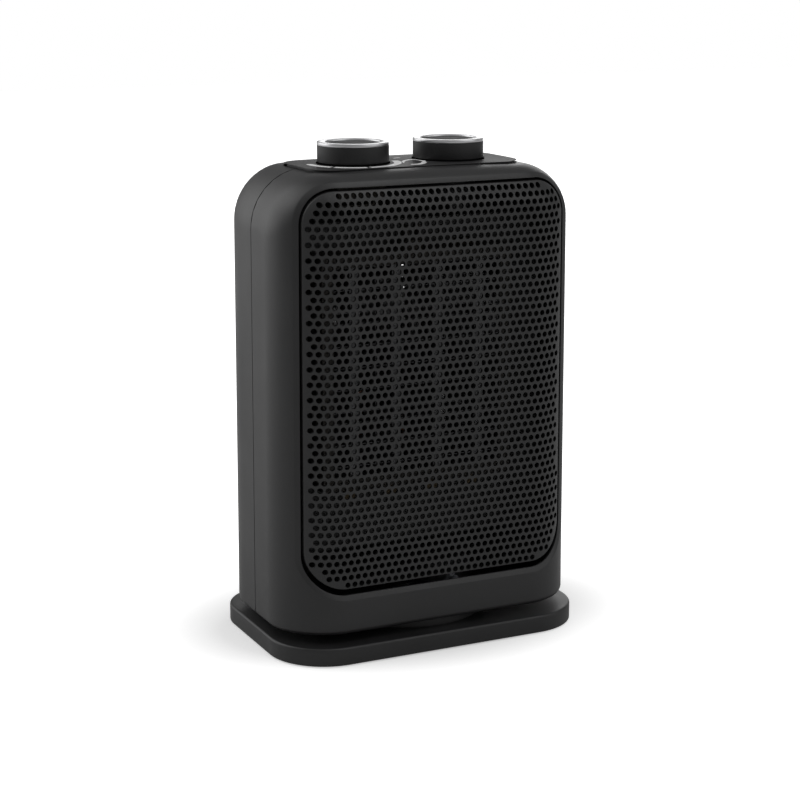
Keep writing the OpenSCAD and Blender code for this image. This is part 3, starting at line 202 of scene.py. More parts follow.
def roll_at(s):
    """The roll into the top: its radius, which eases from 19 in front to 28.3 at the sides, its centre line's
    place, the height where it starts, the place and the height of the opening's edge that it runs to, the
    angle it turns through and the direction outwards from the opening."""
    x, y, nx, ny = plan(s)
    r = ROLL_FRONT + (ROLL_SIDE - ROLL_FRONT) * smooth((np.abs(s) - GROW_FROM) / GROW_OVER)
    axis_x, axis_y = x - r * nx, y - r * ny
    core_x, core_y = np.clip(axis_x, -CORE_X, CORE_X), np.clip(axis_y, -CORE_Y, CORE_Y)
    gap = np.hypot(axis_x - core_x, axis_y - core_y)
    away_x, away_y = (axis_x - core_x) / gap, (axis_y - core_y) / gap
    edge_x, edge_y = core_x + away_x * OPENING_R, core_y + away_y * OPENING_R
    free = np.hypot(x - edge_x, y - edge_y)
    turn = np.arccos(1 - np.minimum(r, free - EDGE_SHORT) / r)
    low = crown(axis_x, axis_y) - r
    on_roll = low + np.sqrt(r ** 2 - np.maximum(r - free, 0) ** 2)
    edge_z = np.where(free > r, crown(edge_x, edge_y), on_roll) + EDGE_RISE
    return r, axis_x, axis_y, low, (edge_x, edge_y, edge_z), turn, (away_x, away_y)


def form(s, v, inset=0.0):
    """A point of the housing's skin, or of a skin lying inset behind it. v climbs from the swivel's hole (-1)
    to the bottom edge (0), round that edge (1), up the side (2), over the roll (3), to the opening for the
    control panel (4) and to the inner edge of the ledge under that panel (5). The edge and the roll are parts
    of circles about their own centre lines, and straight lines join them to each other and to the holes."""
    s, v, inset = np.broadcast_arrays(np.asarray(s, float), np.asarray(v, float), np.asarray(inset, float))
    x, y, nx, ny = plan(s)
    r, axis_x, axis_y, low, (edge_x, edge_y, edge_z), turn, (away_x, away_y) = roll_at(s)
    foot_x, foot_y = x - BEND * nx, y - BEND * ny
    hole = SWIVEL_HOLE / np.hypot(foot_x, foot_y)
    w = np.clip(-v, 0, 1)
    under_x, under_y = foot_x + (foot_x * hole - foot_x) * w, foot_y + (foot_y * hole - foot_y) * w
    under = np.stack([under_x, under_y, BOTTOM + inset], -1)
    bent = np.clip(v, 0, 1) * math.pi / 2
    out = (BEND - inset) * np.sin(bent)
    corner_z = BOTTOM + BEND - (BEND - inset) * np.cos(bent)
    corner = np.stack([foot_x + nx * out, foot_y + ny * out, corner_z], -1)
    side_z = BOTTOM + BEND + (low - BOTTOM - BEND) * np.clip(v - 1, 0, 1)
    side = np.stack([x - nx * inset, y - ny * inset, side_z], -1)
    over = np.clip(v - 2, 0, 1) * turn
    out = (r - inset) * np.cos(over)
    roll = np.stack([axis_x + nx * out, axis_y + ny * out, low + (r - inset) * np.sin(over)], -1)
    opening_edge = np.stack([edge_x, edge_y, edge_z - inset], -1)
    inward = LEDGE * np.clip(v - 4, 0, 1)
    step_in = np.stack([away_x * inward, away_y * inward, np.zeros_like(inward)], -1)
    top = roll + (opening_edge - roll) * np.clip(v - 3, 0, 1)[..., None] - step_in
    pick = v[..., None]
    skin = np.select([pick < 0, pick < 1, pick < 2, pick < 3], [under, corner, side, roll], top)
    skin[..., 0] *= np.where(v > 3, 1, spread(skin[..., 2]))
    return skin


def find(x, z, halvings=45):
    """The s and v of the point of the front that lies at x and z, and its y, by halving the range of s."""
    low, high = np.zeros_like(x), np.full_like(x, SEAM)

    def at(s):
        px, py, nx, ny = plan(s)
        r, _, _, start, _, turn, _ = roll_at(s)
        lift = np.clip((z - start) / r, 0, 1)
        back = r * (1 - np.sqrt(1 - lift ** 2))
        v = np.where(z > start, 2 + np.arcsin(lift) / turn, 1 + (z - BOTTOM - BEND) / (start - BOTTOM - BEND))
        return px - nx * back, py - ny * back, v

    goal = np.abs(x) / spread(z)
    for _ in range(halvings):
        mid = (low + high) / 2
        less = at(mid)[0] < goal
        low, high = np.where(less, mid, low), np.where(less, high, mid)
    s = (low + high) / 2
    _, y, v = at(s)
    return np.where(x < 0, -s, s), v, y


def front_y(x, z):
    """y of the housing's front at x and z."""
    return find(x, z)[2]


def slopes(surface, x, z):
    """How fast a function of x and z grows along each: its change from just before to just after."""
    along = (surface(x + NUDGE, z) - surface(x - NUDGE, z)) / (2 * NUDGE)
    up = (surface(x, z + NUDGE) - surface(x, z - NUDGE)) / (2 * NUDGE)
    return along, up


def slant(x, z):
    """How much longer a wall measured along y is than the same wall measured square to the skin: the root of
    one plus the squares of the skin's two slopes."""
    along, up = slopes(front_y, x, z)
    return np.sqrt(1 + along ** 2 + up ** 2)


SIDES, ARCS = 60, 24  # points along each side of an outline and round each corner


def opening(half, low, high, r_low, r_high, sides=SIDES, arcs=ARCS):
    """Points of a rounded rectangle from low to high, anticlockwise from the lower end of its right side:
    even steps along each side, and even angles round each corner."""
    across, up = [], []

    def line(x0, z0, x1, z1):
        w = np.arange(sides) / sides
        across.append(x0 + (x1 - x0) * w)
        up.append(z0 + (z1 - z0) * w)

    def arc(cx, cz, r, start):
        a = math.radians(start) + np.arange(arcs) / arcs * math.pi / 2
        across.append(cx + r * np.cos(a))
        up.append(cz + r * np.sin(a))

    line(half, low + r_low, half, high - r_high)
    arc(half - r_high, high - r_high, r_high, 0)
    line(half - r_high, high, r_high - half, high)
    arc(r_high - half, high - r_high, r_high, 90)
    line(-half, high - r_high, -half, low + r_low)
    arc(r_low - half, low + r_low, r_low, 180)
    line(r_low - half, low, half - r_low, low)
    arc(half - r_low, low + r_low, r_low, 270)
    return np.concatenate(across), np.concatenate(up)


def outlet(q):
    """The air outlet's outline, widened by q all round, with the housing's own spread."""
    half, low, high, r_low, r_high = OUTLET
    x, z = opening(half + q, low - q, high + q, r_low + q, r_high + q)
    return x * spread(z), z


def run(start, end, n):
    """The starts of n even steps from start to end."""
    return start + (end - start) * np.arange(n) / n


def quads(rows, columns, round_rows=False, round_columns=False):
    """The four-sided faces of a grid of points, closed on itself in either direction if asked."""
    i = np.arange(rows if round_rows else rows - 1)[:, None]
    j = np.arange(columns if round_columns else columns - 1)[None]
    a, b = i * columns + j, i * columns + (j + 1) % columns
    c, d = (i + 1) % rows * columns + (j + 1) % columns, (i + 1) % rows * columns + j
    return np.stack([a, b, c, d], -1).reshape(-1, 4)


def stacked(rows, first_tip=None, last_tip=None, round_rows=False):
    """A closed shape from rows of points that each run once round, with a tip at either end or joined end
    to end."""
    rows = np.asarray(rows, float)
    m, n = rows.shape[:2]
    points, faces = [rows.reshape(-1, 3)], [quads(m, n, round_rows, True)]
    j = np.arange(n)
    for tip, start in ((first_tip, 0), (last_tip, (m - 1) * n)):
        if tip is not None:
            fan = np.stack([start + (j + 1) % n, start + j, np.full(n, m * n + len(points) - 1)], -1)
            faces.append(fan[:, ::-1] if start else fan)
            points.append(np.reshape(tip, (1, 3)))
    return np.concatenate(points), faces


def lathe(profile, middle, n=96):
    """A turned shape from a profile of radius and height, round an upright axis through the middle. The
    profile starts and ends on the axis, or comes back to its first point."""
    profile = np.asarray(profile, float)
    loop = np.allclose(profile[0], profile[-1])
    body = profile[:-1] if loop else profile[1:-1]
    a = np.arange(n) * 2 * math.pi / n
    rings = np.stack([body[:, :1] * np.cos(a), body[:, :1] * np.sin(a), np.repeat(body[:, 1:], n, 1)], -1)
    tips = [None, None] if loop else [np.array([0, 0, profile[k][1]]) + middle for k in (0, -1)]
    return stacked(rings + np.asarray(middle, float), *tips, round_rows=loop)


def piece(name, parts, paint, body, slot, *replaced, sharp=SHARP):
    """A finished piece from closed parts, each given by its points in millimetres and its faces, one array
    for each number of corners. A part whose volume comes out below zero has its faces turned to point
    outwards: the volume is the sum over all triangles of the triple product of their corners."""
    all_points, all_faces, offset = [], [], 0
    for points, groups in parts:
        points = np.asarray(points, float).reshape(-1, 3)
        groups = [np.asarray(f) for f in (groups if isinstance(groups, list) else [groups])]
        volume = 0.0
        middle = points.mean(0)
        for f in groups:
            for k in range(1, f.shape[1] - 1):
                a, b, c = (points[f[:, i]] - middle for i in (0, k, k + 1))
                volume += np.einsum("ij,ij->", a, np.cross(b, c))
        all_faces += [(f[:, ::-1] if volume < 0 else f) + offset for f in groups]
        all_points.append(points)
        offset += len(points)
    mesh = bpy.data.meshes.new(name)
    mesh.vertices.add(offset)
    mesh.vertices.foreach_set("co", (np.concatenate(all_points) * MM).ravel())
    sizes = np.concatenate([np.full(len(f), f.shape[1]) for f in all_faces])
    mesh.loops.add(int(sizes.sum()))
    mesh.loops.foreach_set("vertex_index", np.concatenate([f.ravel() for f in all_faces]))
    mesh.polygons.add(len(sizes))
    mesh.polygons.foreach_set("loop_start", np.concatenate([[0], np.cumsum(sizes)[:-1]]))
    mesh.polygons.foreach_set("loop_total", sizes)
    mesh.update(calc_edges=True)
    mesh.validate()
    mesh.shade_smooth()
    mesh.set_sharp_from_angle(angle=math.radians(sharp))
    thing = bpy.data.objects.new(name, mesh)
    bpy.context.scene.collection.objects.link(thing)
    mesh.materials.append(paint)
    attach(thing, body)
    if replaced:
        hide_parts(*replaced)
    return thing


def moulded(name, colour, rough=0.45, grain=1500, bump=0.25, drift=0.12, metallic=0.0, stretch=(1, 1, 1),
            shine=0.5):
    """A material of one colour. A broad noise drifts its shade by a share of itself and its gloss a little
    to either side, and a fine noise of that grain raises a bumpy texture."""
    paint = bpy.data.materials.new(name)
    paint.use_nodes = True
    nodes, links = paint.node_tree.nodes, paint.node_tree.links
    shader = nodes["Principled BSDF"]
    set_inputs(shader, {"Metallic": metallic, "Specular IOR Level": shine})
    place = nodes.new("ShaderNodeTexCoord")
    scaled = nodes.new("ShaderNodeMapping")
    set_inputs(scaled, {"Scale": stretch})
    links.new(place.outputs["Object"], scaled.inputs["Vector"])
    fine = nodes.new("ShaderNodeTexNoise")
    set_inputs(fine, {"Scale": grain, "Detail": 3})
    broad = nodes.new("ShaderNodeTexNoise")
    set_inputs(broad, {"Scale": 35, "Detail": 4})
    for noise in (fine, broad):
        links.new(scaled.outputs["Vector"], noise.inputs["Vector"])
    low_noise, high_noise, gloss_drift = 0.3, 0.7, 0.04
    shade = nodes.new("ShaderNodeValToRGB")
    dark, light = shade.color_ramp.elements
    dark.position, light.position = low_noise, high_noise
    dark.color = (*[c * (1 - drift) for c in colour], 1)
    light.color = (*[min(1, c * (1 + drift)) for c in colour], 1)
    links.new(broad.outputs["Fac"], shade.inputs["Fac"])
    links.new(shade.outputs["Color"], shader.inputs["Base Color"])
    gloss = nodes.new("ShaderNodeMapRange")
    set_inputs(gloss, {"From Min": low_noise, "From Max": high_noise})
    set_inputs(gloss, {"To Min": rough - gloss_drift, "To Max": rough + gloss_drift})
    links.new(broad.outputs["Fac"], gloss.inputs["Value"])
    links.new(gloss.outputs["Result"], shader.inputs["Roughness"])
    relief = nodes.new("ShaderNodeBump")
    set_inputs(relief, {"Strength": bump, "Distance": 0.0001})
    links.new(fine.outputs["Fac"], relief.inputs["Height"])
    links.new(relief.outputs["Normal"], shader.inputs["Normal"])
    return paint


black_abs = moulded("black_abs", (0.017, 0.017, 0.0175), rough=0.42)

# The skin is ruled from the outlet's outline to a border of as many points: up the right seam, along the
# panel's opening, down the left seam and along the swivel's hole. An outline's corner is halved between two.
HALF_ARC = ARCS // 2
TURN_S = 62  # way along the skin where the border of the outline's top and bottom sides ends
in_s, in_v, _ = find(*outlet(CHAMFER[-1][0]))
far_s, far_v, _ = find(*outlet(INSIDE_EDGE))
side_v = np.maximum.accumulate(in_v[:SIDES + 1])
foot_v, head_v = side_v[0], side_v[-1]
right_to_left = np.concatenate([
    run(SEAM, TURN_S, HALF_ARC), run(TURN_S, -TURN_S, SIDES), run(-TURN_S, -SEAM, HALF_ARC)])
border_s = np.concatenate([
    np.full(SIDES + HALF_ARC, SEAM), right_to_left, np.full(ARCS + SIDES, -SEAM), -right_to_left,
    np.full(HALF_ARC, SEAM)])
border_v = np.concatenate([
    side_v[:-1], run(head_v, 4, HALF_ARC), np.full(ARCS + SIDES, 4.0), run(4, head_v, HALF_ARC),
    side_v[:0:-1], run(foot_v, -1, HALF_ARC), np.full(ARCS + SIDES, -1.0), run(-1, foot_v, HALF_ARC)])

x, z = outlet(0)
rows = [np.stack([x, front_y(x, z) + WALL * slant(x, z), z], -1)]
for q, depth in CHAMFER:
    x, z = outlet(q)
    rows.append(np.stack([x, front_y(x, z) + depth, z], -1))
steps = np.linspace(0, 1, 25)
for w in steps[1:]:
    rows.append(form(in_s + (border_s * LIP - in_s) * w, in_v + (border_v - in_v) * w))
at_opening = border_v >= 4
sunk = np.where(at_opening, LEDGE_DEPTH, GROOVE_DEPTH)
rows.append(form(border_s * LIP, border_v, sunk))
border_v = np.where(at_opening, 5.0, border_v)
rows.append(form(border_s, border_v, sunk))
for w in steps[::-1]:
    rows.append(form(far_s + (border_s - far_s) * w, far_v + (border_v - far_v) * w, WALL))
shell = [(np.stack(rows), quads(len(rows), len(x), True, True))]
around_boss = np.arange(32) * math.pi / 16


def boss_ring(x, z, radius, depth=None, side=-1):
    """A ring of a boss's wall at that depth, kept within the housing. With no depth it ends in the middle of
    the wall."""
    px = np.clip(x + radius * np.cos(around_boss), -BOSS_LIMIT, BOSS_LIMIT)
    pz = z + radius * np.sin(around_boss)
    skin = -front_y(px, pz) - WALL / 2 * slant(px, pz)
    py = skin if depth is None else np.minimum(skin, depth)
    return np.stack([px, side * py, pz], -1)


for x, z in BOSS_PLACES:
    sizes = ((BOSS_R, BOSS_ROOT), (BOSS_R, BOSS_FACE), (PILOT_R, BOSS_FACE), (PILOT_R, PILOT_END))
    rings = [boss_ring(x, z, radius, depth) for radius, depth in sizes]
    shell.append(stacked(rings, (x, -BOSS_ROOT, z), (x, -PILOT_END, z)))
piece("front_shell", shell, black_abs, "housing", "housing_plastic", "front_housing")

# ---- Grille ----
# A moulded front in the same black plastic, set 1.1 mm behind the shell's skin, with a honeycomb of round
# holes right to its edge. Each hole stands in its own six-sided tile, which shares its edges with its
# neighbours.

PITCH, ROW = 3.692, 3.725  # from hole to hole in a row, and from row to row
HOLE_R, HOLE_CORNERS = 1.42, 12
SET_BACK, THICK = 1.1, 1.5
GRILLE = (70.1, 37.0, 231.3, 19.4, 16.4)  # half width, foot, head, lower and upper corners' radii
WAIST = 134  # a height between the lower and the upper corners
FIRST_X, FIRST_Z = 0.5, 232.8  # place of the middle column and height of the top row
COLUMNS, ROWS = np.arange(-21, 22), np.arange(60)  # more than enough: holes outside the outline are left out
HOLE_ROOM, RIM_ROOM = 2.05, 0.48  # least way to the outline from a hole's middle, and from a tile's corner
EDGE_ROUND, SKIRT, SKIRT_WALL = 0.35, 6, 0.9  # the outer edge's radius, and the skirt behind it


def grille_points(x, z, deeper=0.0):
    """Points of the grille's face at x and z, or of a layer that much deeper, measured square to the skin."""
    return np.stack([x, front_y(x, z) + (SET_BACK + deeper) * slant(x, z), z], -1)


def inside(x, z):
    """How far a point lies inside the grille's outline, below zero outside it: in a corner's square the
    radius less the distance from the corner's centre, elsewhere the distance from the nearest side."""
    half, low, high, r_low, r_high = GRILLE
    r = np.where(z > WAIST, r_high, r_low)
    dx = np.abs(x) / spread(z) - (half - r)
    dz = np.where(z > WAIST, z - (high - r), (low + r) - z)
    return r - np.where((dx > 0) & (dz > 0), np.hypot(dx, dz), np.maximum(dx, dz))


col, row = np.meshgrid(COLUMNS, ROWS)
mid_x = FIRST_X + (col + 0.5 * (row % 2)) * PITCH
mid_z = FIRST_Z - row * ROW
keep = inside(mid_x, mid_z) > HOLE_ROOM
mid_x, mid_z = mid_x[keep][:, None], mid_z[keep][:, None]
holes = len(mid_x)
angle = np.arange(HOLE_CORNERS) * 2 * math.pi / HOLE_CORNERS
hole_x, hole_z = (mid_x + HOLE_R * np.cos(angle)).ravel(), (mid_z + HOLE_R * np.sin(angle)).ravel()

# A tile holds the points that are nearer its own hole than any other. Its knee is the height, above the hole,
# of the point that is equally far from three holes. Neighbouring tiles share corners, which are found by
# rounding to a lattice so fine, and so shifted, that no corner lies on the border of two of its places.
knee = (ROW ** 2 - PITCH ** 2 / 4) / (2 * ROW)
LATTICE, LATTICE_SHIFT = 173, 0.27
half_tile = np.array([(PITCH / 2, 0), (PITCH / 2, knee), (PITCH / 4, ROW / 2),
    (0, ROW - knee), (-PITCH / 4, ROW / 2), (-PITCH / 2, knee)])
tile = np.concatenate([half_tile, -half_tile])
corners = np.stack([mid_x + tile[:, 0], mid_z + tile[:, 1]], -1).reshape(-1, 2)
spots = np.round(corners * LATTICE + LATTICE_SHIFT).astype(int)
_, first, which = np.unique(spots, axis=0, return_index=True, return_inverse=True)
web = corners[first]
short = np.maximum(RIM_ROOM - inside(*web.T), 0)
web = web + np.stack(slopes(inside, *web.T), -1) * short[:, None]
which = which.reshape(holes, HOLE_CORNERS)
ring = np.arange(holes * HOLE_CORNERS).reshape(holes, HOLE_CORNERS)
ring_next, which_next = np.roll(ring, -1, 1), np.roll(which, -1, 1)

# An edge that only one tile has lies on the honeycomb's ragged border. Each such edge leads to the next, and
# together they run once round, anticlockwise.
pairs = np.stack([which, which_next], -1).reshape(-1, 2)
_, spot, count = np.unique(np.sort(pairs, 1), axis=0, return_index=True, return_counts=True)
after = dict(pairs[spot[count == 1]].tolist())
chain = [min(after)]
while after[chain[-1]] != chain[0]:
    chain.append(after[chain[-1]])
chain = np.array(chain)


def grille_outline(inset):
    """The grille's outline moved inwards, as close points, and closed by its first point."""
    half, low, high, r_low, r_high = GRILLE
    r_low, r_high = r_low - inset, r_high - inset
    x, z = opening(half - inset, low + inset, high - inset, r_low, r_high, sides=400, arcs=160)
    x = x * spread(z)
    return np.append(x, x[0]), np.append(z, z[0])


# Each point of the border is given a place on the outline: the way round to the outline's nearest point,
# evened out over five neighbours.
dense_x, dense_z = grille_outline(0)
reach = np.concatenate([[0], np.cumsum(np.hypot(np.diff(dense_x), np.diff(dense_z)))])
around = reach[-1]
gap_x, gap_z = web[chain, 0][:, None] - dense_x[:-1], web[chain, 1][:, None] - dense_z[:-1]
near = np.argmin(gap_x ** 2 + gap_z ** 2, axis=1)
first_near = np.argmin(near)
chain, near = np.roll(chain, -first_near), np.roll(near, -first_near)
way = np.maximum.accumulate(reach[near])
wrapped = np.concatenate([way[-2:] - around, way, way[:2] + around])
way = np.convolve(wrapped, np.ones(5) / 5, "valid") % around


def rim(inset, deeper=0.0, drop=0.0):
    """The points beside the honeycomb's ragged border, on the outline moved inwards: on the face, on a layer
    that much deeper, or a drop straight behind them."""
    x, z = grille_outline(inset)
    return grille_points(np.interp(way, reach, x), np.interp(way, reach, z), deeper) + [0, drop, 0]


loops = []
for a in np.arange(5) * math.pi / 8:
    loops.append(rim(EDGE_ROUND * (1 - math.sin(a)), drop=EDGE_ROUND * (1 - math.cos(a))))
loops += [rim(0, drop=SKIRT), rim(SKIRT_WALL, drop=SKIRT), rim(SKIRT_WALL, THICK)]
points = np.concatenate([
    grille_points(hole_x, hole_z), grille_points(hole_x, hole_z, THICK),
    grille_points(*web.T), grille_points(*web.T, THICK), *loops])
hole_count, n = len(hole_x), len(chain)
front = 2 * hole_count
back = front + len(web)
base = back + len(web)
last = base + (len(loops) - 1) * n
j = np.arange(n)
step = (j + 1) % n
faces = np.concatenate([
    np.stack([ring, which + front, which_next + front, ring_next], -1).reshape(-1, 4),
    np.stack([ring + hole_count, ring_next + hole_count, which_next + back, which + back], -1).reshape(-1, 4),
    np.stack([ring, ring_next, ring_next + hole_count, ring + hole_count], -1).reshape(-1, 4),
    np.stack([chain + front, base + j, base + step, chain[step] + front], -1),
    np.stack([chain[step] + back, last + step, last + j, chain + back], -1),
    quads(len(loops), n, False, True)[:, ::-1] + base])
piece("grille", [(points, faces)], black_abs, "housing", "grille_plastic", "front_grille", sharp=40)

# ---- Rear shell ----
# The rear half of the housing, in the same plastic: rows of slots let air in behind the fan, six deep wells
# take the long screws, and the cord's gland passes through low down. A groove of 0.6 mm parts it from the
# front shell.

SLEEVE_R, WELL_R, WELL_CUT_R, SCREW_R, WELL_FLOOR = 5, 3.25, 3.15, 1.7, 8
VENT_R, VENT_Z, SLOT_ROWS, SLOT_PITCH = 50, 138, 8, 6  # the round field, and its rows above and below
SLOT_R, RIB_HALF, SLOT_FROM = 1.5, 1.5, 42  # a slot's rounded ends, the rib between slots, a cut's start
GLAND, GLAND_R, GLAND_FROM = (-40.5, 29.3), 6.5, 40
BEHIND = 60  # beyond the rear, where the cuts end


def prism(outline, low, high, axis=1):
    """A closed bar of that outline (two columns), from low to high along an axis, as points and faces."""
    n = len(outline)
    ends = np.concatenate([np.insert(outline, axis, level, axis=1) for level in (low, high)])
    j = np.arange(n)
    return ends, [j[None], j[None, ::-1] + n, np.stack([j, j + n, (j + 1) % n + n, (j + 1) % n], -1)]


def disc(x, z, r, n=40):
    """A circle's points: the cosine and the sine of even angles, times its radius."""
    a = np.arange(n) * 2 * math.pi / n
    return np.stack([x + r * np.cos(a), z + r * np.sin(a)], -1)


def carve(thing, cutters):
    """Cuts bars, which stay clear of each other, out of a piece."""
    tool = piece("cutter", cutters, black_abs, "housing", "housing_plastic")
    cut = thing.modifiers.new("cut", "BOOLEAN")
    cut.object, cut.operation, cut.solver = tool, "DIFFERENCE", "EXACT"
    bpy.context.view_layer.update()
    done = bpy.data.meshes.new_from_object(thing.evaluated_get(bpy.context.evaluated_depsgraph_get()))
    thing.modifiers.clear()
    old, thing.data = thing.data, done
    bpy.data.meshes.remove(old)
    tool_mesh = tool.data
    bpy.data.objects.remove(tool)
    bpy.data.meshes.remove(tool_mesh)
    done.name = thing.name
    done.shade_smooth()
    done.set_sharp_from_angle(angle=math.radians(SHARP))


half_s = np.concatenate([run(0, FLAT, 12), run(FLAT, ARC_END, 16), run(ARC_END, SEAM, 5), [SEAM * LIP]])
up = np.concatenate([run(-1, 0, 6), run(0, 1, 6), run(1, 2, 14), run(2, 3, 14), np.linspace(3, 4, 4), [4, 5]])
up_inside = np.append(up[:-3], 5)
skin = np.where(np.arange(len(up)) < len(up) - 2, 0, LEDGE_DEPTH)


def section(s, tongue=False):
    """A closed cut through the wall at s: up the skin, or up a tongue as deep as the groove, and down the
    inside."""
    outer = form(s, up, np.where(skin > 0, skin, GROOVE_DEPTH) if tongue else skin)
    return np.concatenate([outer, form(s, up_inside[::-1], WALL)])


sections = [section(-SEAM, True), section(-SEAM * LIP, True)]
sections += [section(s) for s in (*-half_s[:0:-1], *half_s)]
sections += [section(SEAM * LIP, True), section(SEAM, True)]
grid = np.stack(sections)
grid[..., 1] *= -1
count, size = grid.shape[:2]
end_face = np.arange(size)[None]
rear = [(grid, [quads(count, size, False, True), end_face, end_face[:, ::-1] + (count - 1) * size])]
wells = []
for x, z in BOSS_PLACES:
    sizes = ((SLEEVE_R, BOSS_FACE), (SLEEVE_R, None), (WELL_R, None), (WELL_R, WELL_FLOOR),
        (SCREW_R, WELL_FLOOR), (SCREW_R, BOSS_FACE))
    rear.append(stacked([boss_ring(x, z, radius, depth, 1) for radius, depth in sizes], round_rows=True))
    wells.append(prism(disc(x, z, WELL_CUT_R), WELL_FLOOR, BEHIND))
rear_shell = piece("rear_shell", rear[:1], black_abs, "housing", "housing_plastic", "rear_housing")
bend = np.linspace(-math.pi / 2, math.pi / 2, 9)
slots = []
for i in range(-SLOT_ROWS, SLOT_ROWS + 1):
    slot_end = math.sqrt(VENT_R ** 2 - (SLOT_PITCH * i) ** 2)
    outer_end = np.stack([slot_end - SLOT_R + SLOT_R * np.cos(bend), SLOT_R * np.sin(bend)], -1)
    inner_end = np.stack([RIB_HALF + SLOT_R - SLOT_R * np.cos(bend), -SLOT_R * np.sin(bend)], -1)
    outline = np.concatenate([outer_end, inner_end]) + [0, VENT_Z + SLOT_PITCH * i]
    slots += [prism(outline, SLOT_FROM, BEHIND), prism(outline * [-1, 1], SLOT_FROM, BEHIND)]
carve(rear_shell, slots + wells + [prism(disc(*GLAND, GLAND_R), GLAND_FROM, BEHIND)])
piece("rear_well_sleeves", rear[1:], black_abs, "housing", "housing_plastic")

# ---- Control panel ----
# A separate moulding in the top, 114 by 53 mm, in matte black ABS: it sits on the shells' ledge, clamped by
# the two nuts, and stands 0.5 to 1 mm proud of them over a dark gap. A shallow round recess lies under each
# knob.

KNOB_PLACES = (-26.2, 26.2)
PROUD, FALL_X, FALL_Y = 0.45, 0.2, 0.3  # the face's middle above the shells' top, and its fall over the field
PANEL_GAP, PANEL_UNDERSIDE = 0.4, 1.35
PANEL_X, PANEL_Y = CORE_X + OPENING_R - PANEL_GAP, CORE_Y + OPENING_R - PANEL_GAP
RECESS_R, RECESS_Z, SHAFT_HOLE_R = 18.4, 239.2, 5.15
UNDER_PANEL, OVER_PANEL = 230, 245
panel_abs = moulded("panel_abs", (0.019, 0.019, 0.0195), rough=0.55, grain=2200, bump=0.5, drift=0.25,
    shine=0.45)


def panel_top(x, y):
    """Height of the panel's face: it falls with the squares of x and y, but less than the shells, so that its
    two ends stand the proudest."""
    return TOP + PROUD - FALL_X * (x / FIELD_X) ** 2 - FALL_Y * (y / FIELD_Y) ** 2


def panel_loop(inset, depth, scale=1.0, face=panel_top):
    """The panel's outline moved inwards, or shrunk towards its middle, at a depth below its face or the
    crown."""
    r = OPENING_R - PANEL_GAP - inset
    x, y = opening(PANEL_X - inset, inset - PANEL_Y, PANEL_Y - inset, r, r, sides=24, arcs=16)
    x, y = x * scale, y * scale
    return np.stack([x, y, face(x, y) - depth], -1)


# The rows run from the underside's middle outwards, up the undercut rim and back to the middle on the face.
shrink = np.linspace(1, 0.08, 12)
rows = [panel_loop(1.7, 1.3, k, crown) for k in shrink[::-1]] + [panel_loop(1.5, 1.1, 1.0, crown)]
rim_profile = ((1.5, 0.36), (0.12, 0.18), (0, 0.12), (0.05, 0.04), (0.15, 0))
rows += [panel_loop(inset, depth) for inset, depth in rim_profile]
rows += [panel_loop(0.4, 0, k) for k in shrink]
panel = stacked(rows, (0, 0, TOP - PANEL_UNDERSIDE), (0, 0, TOP + PROUD))
control_panel = piece("control_panel_top", [panel], panel_abs, "housing", "panel_plastic", "control_panel")
carve(control_panel, [prism(disc(x, 0, RECESS_R, 96), RECESS_Z, OVER_PANEL, axis=2) for x in KNOB_PLACES])
carve(control_panel, [prism(disc(x, 0, SHAFT_HOLE_R), UNDER_PANEL, OVER_PANEL, axis=2) for x in KNOB_PLACES])

# ---- Printed marks ----
# White pad-printed ink on the panel: the heat scale, a ring in three strokes round the left knob, the last a
# little broader at its end, an arrow bent into a loop between the knobs, and a short dash behind it.

RING_STROKES = ((-99, -52.5), (-48, -7), (-2.5, 88))  # degrees round the knob from its front, to the right
RING_R, RING_HALF, ROUND_OVER = 22.3, 1.8, 4  # radius, half width, and the degrees its ends are rounded over
BROAD_FROM, BROAD_OVER = 52, 16  # degrees where the ring grows broad
BROADER, CLOSER = 0.1, 0.4  # how much the half width grows there, and the radius shrinks
ARROW_MIDDLE, ARROW_HALF, ARROW_LEAN = (1.9, -10.4), (5.2, 10.5), (0.9, 0.435)
ARROW_SWELL = 1.1  # how much broader the arrow's strokes are at its two far ends
DASH_FROM, DASH_TO, DASH_HALF = (0.4, 9.6), (4.4, 10.4), 0.7

# Each of the arrow's strokes runs between two angles round its oval, and between two half widths.
ARROW_STROKES = ((168, 2, 0.5, 0.8), (206, 168, 0.03, 0.9), (-14, -104, 0.9, 0.6), (-4, -40, 1.3, 0.3))
INK_FACE, INK_BACK = 0.02, -0.04
ink = moulded("white_ink", (0.92, 0.92, 0.92), rough=0.5, grain=900, bump=0.1, drift=0.03)


def stroke(x, y, half):
    """A flat band of ink along a line of points, of the half width given at each, measured square to the line
    and a few hundredths thick."""
    line = np.stack([x, y], -1)
    along = np.gradient(line, axis=0)
    across = np.stack([-along[:, 1], along[:, 0]], -1) / np.hypot(along[:, 0], along[:, 1])[:, None]
    corners = []
    for side, lift in ((1, INK_FACE), (-1, INK_FACE), (-1, INK_BACK), (1, INK_BACK)):
        p = line + across * (side * np.broadcast_to(half, len(line)))[:, None]
        corners.append(np.column_stack([p, panel_top(p[:, 0], p[:, 1]) + lift]))
    end = np.arange(4)[None]
    return np.stack(corners, 1), [quads(len(line), 4, False, True), end[:, ::-1], end + 4 * (len(line) - 1)]


def round_end(a, start, end, reach):
    """The share that is left of a stroke's width near its start and end, as in a half circle: the root of one
    less the square of the share of the reach that is still to go. It never falls quite to nothing."""
    near = np.minimum(np.abs(a - start), np.abs(end - a)) / reach
    return np.sqrt(np.clip(1 - (1 - np.clip(near, 0, 1)) ** 2, 0.03, 1))


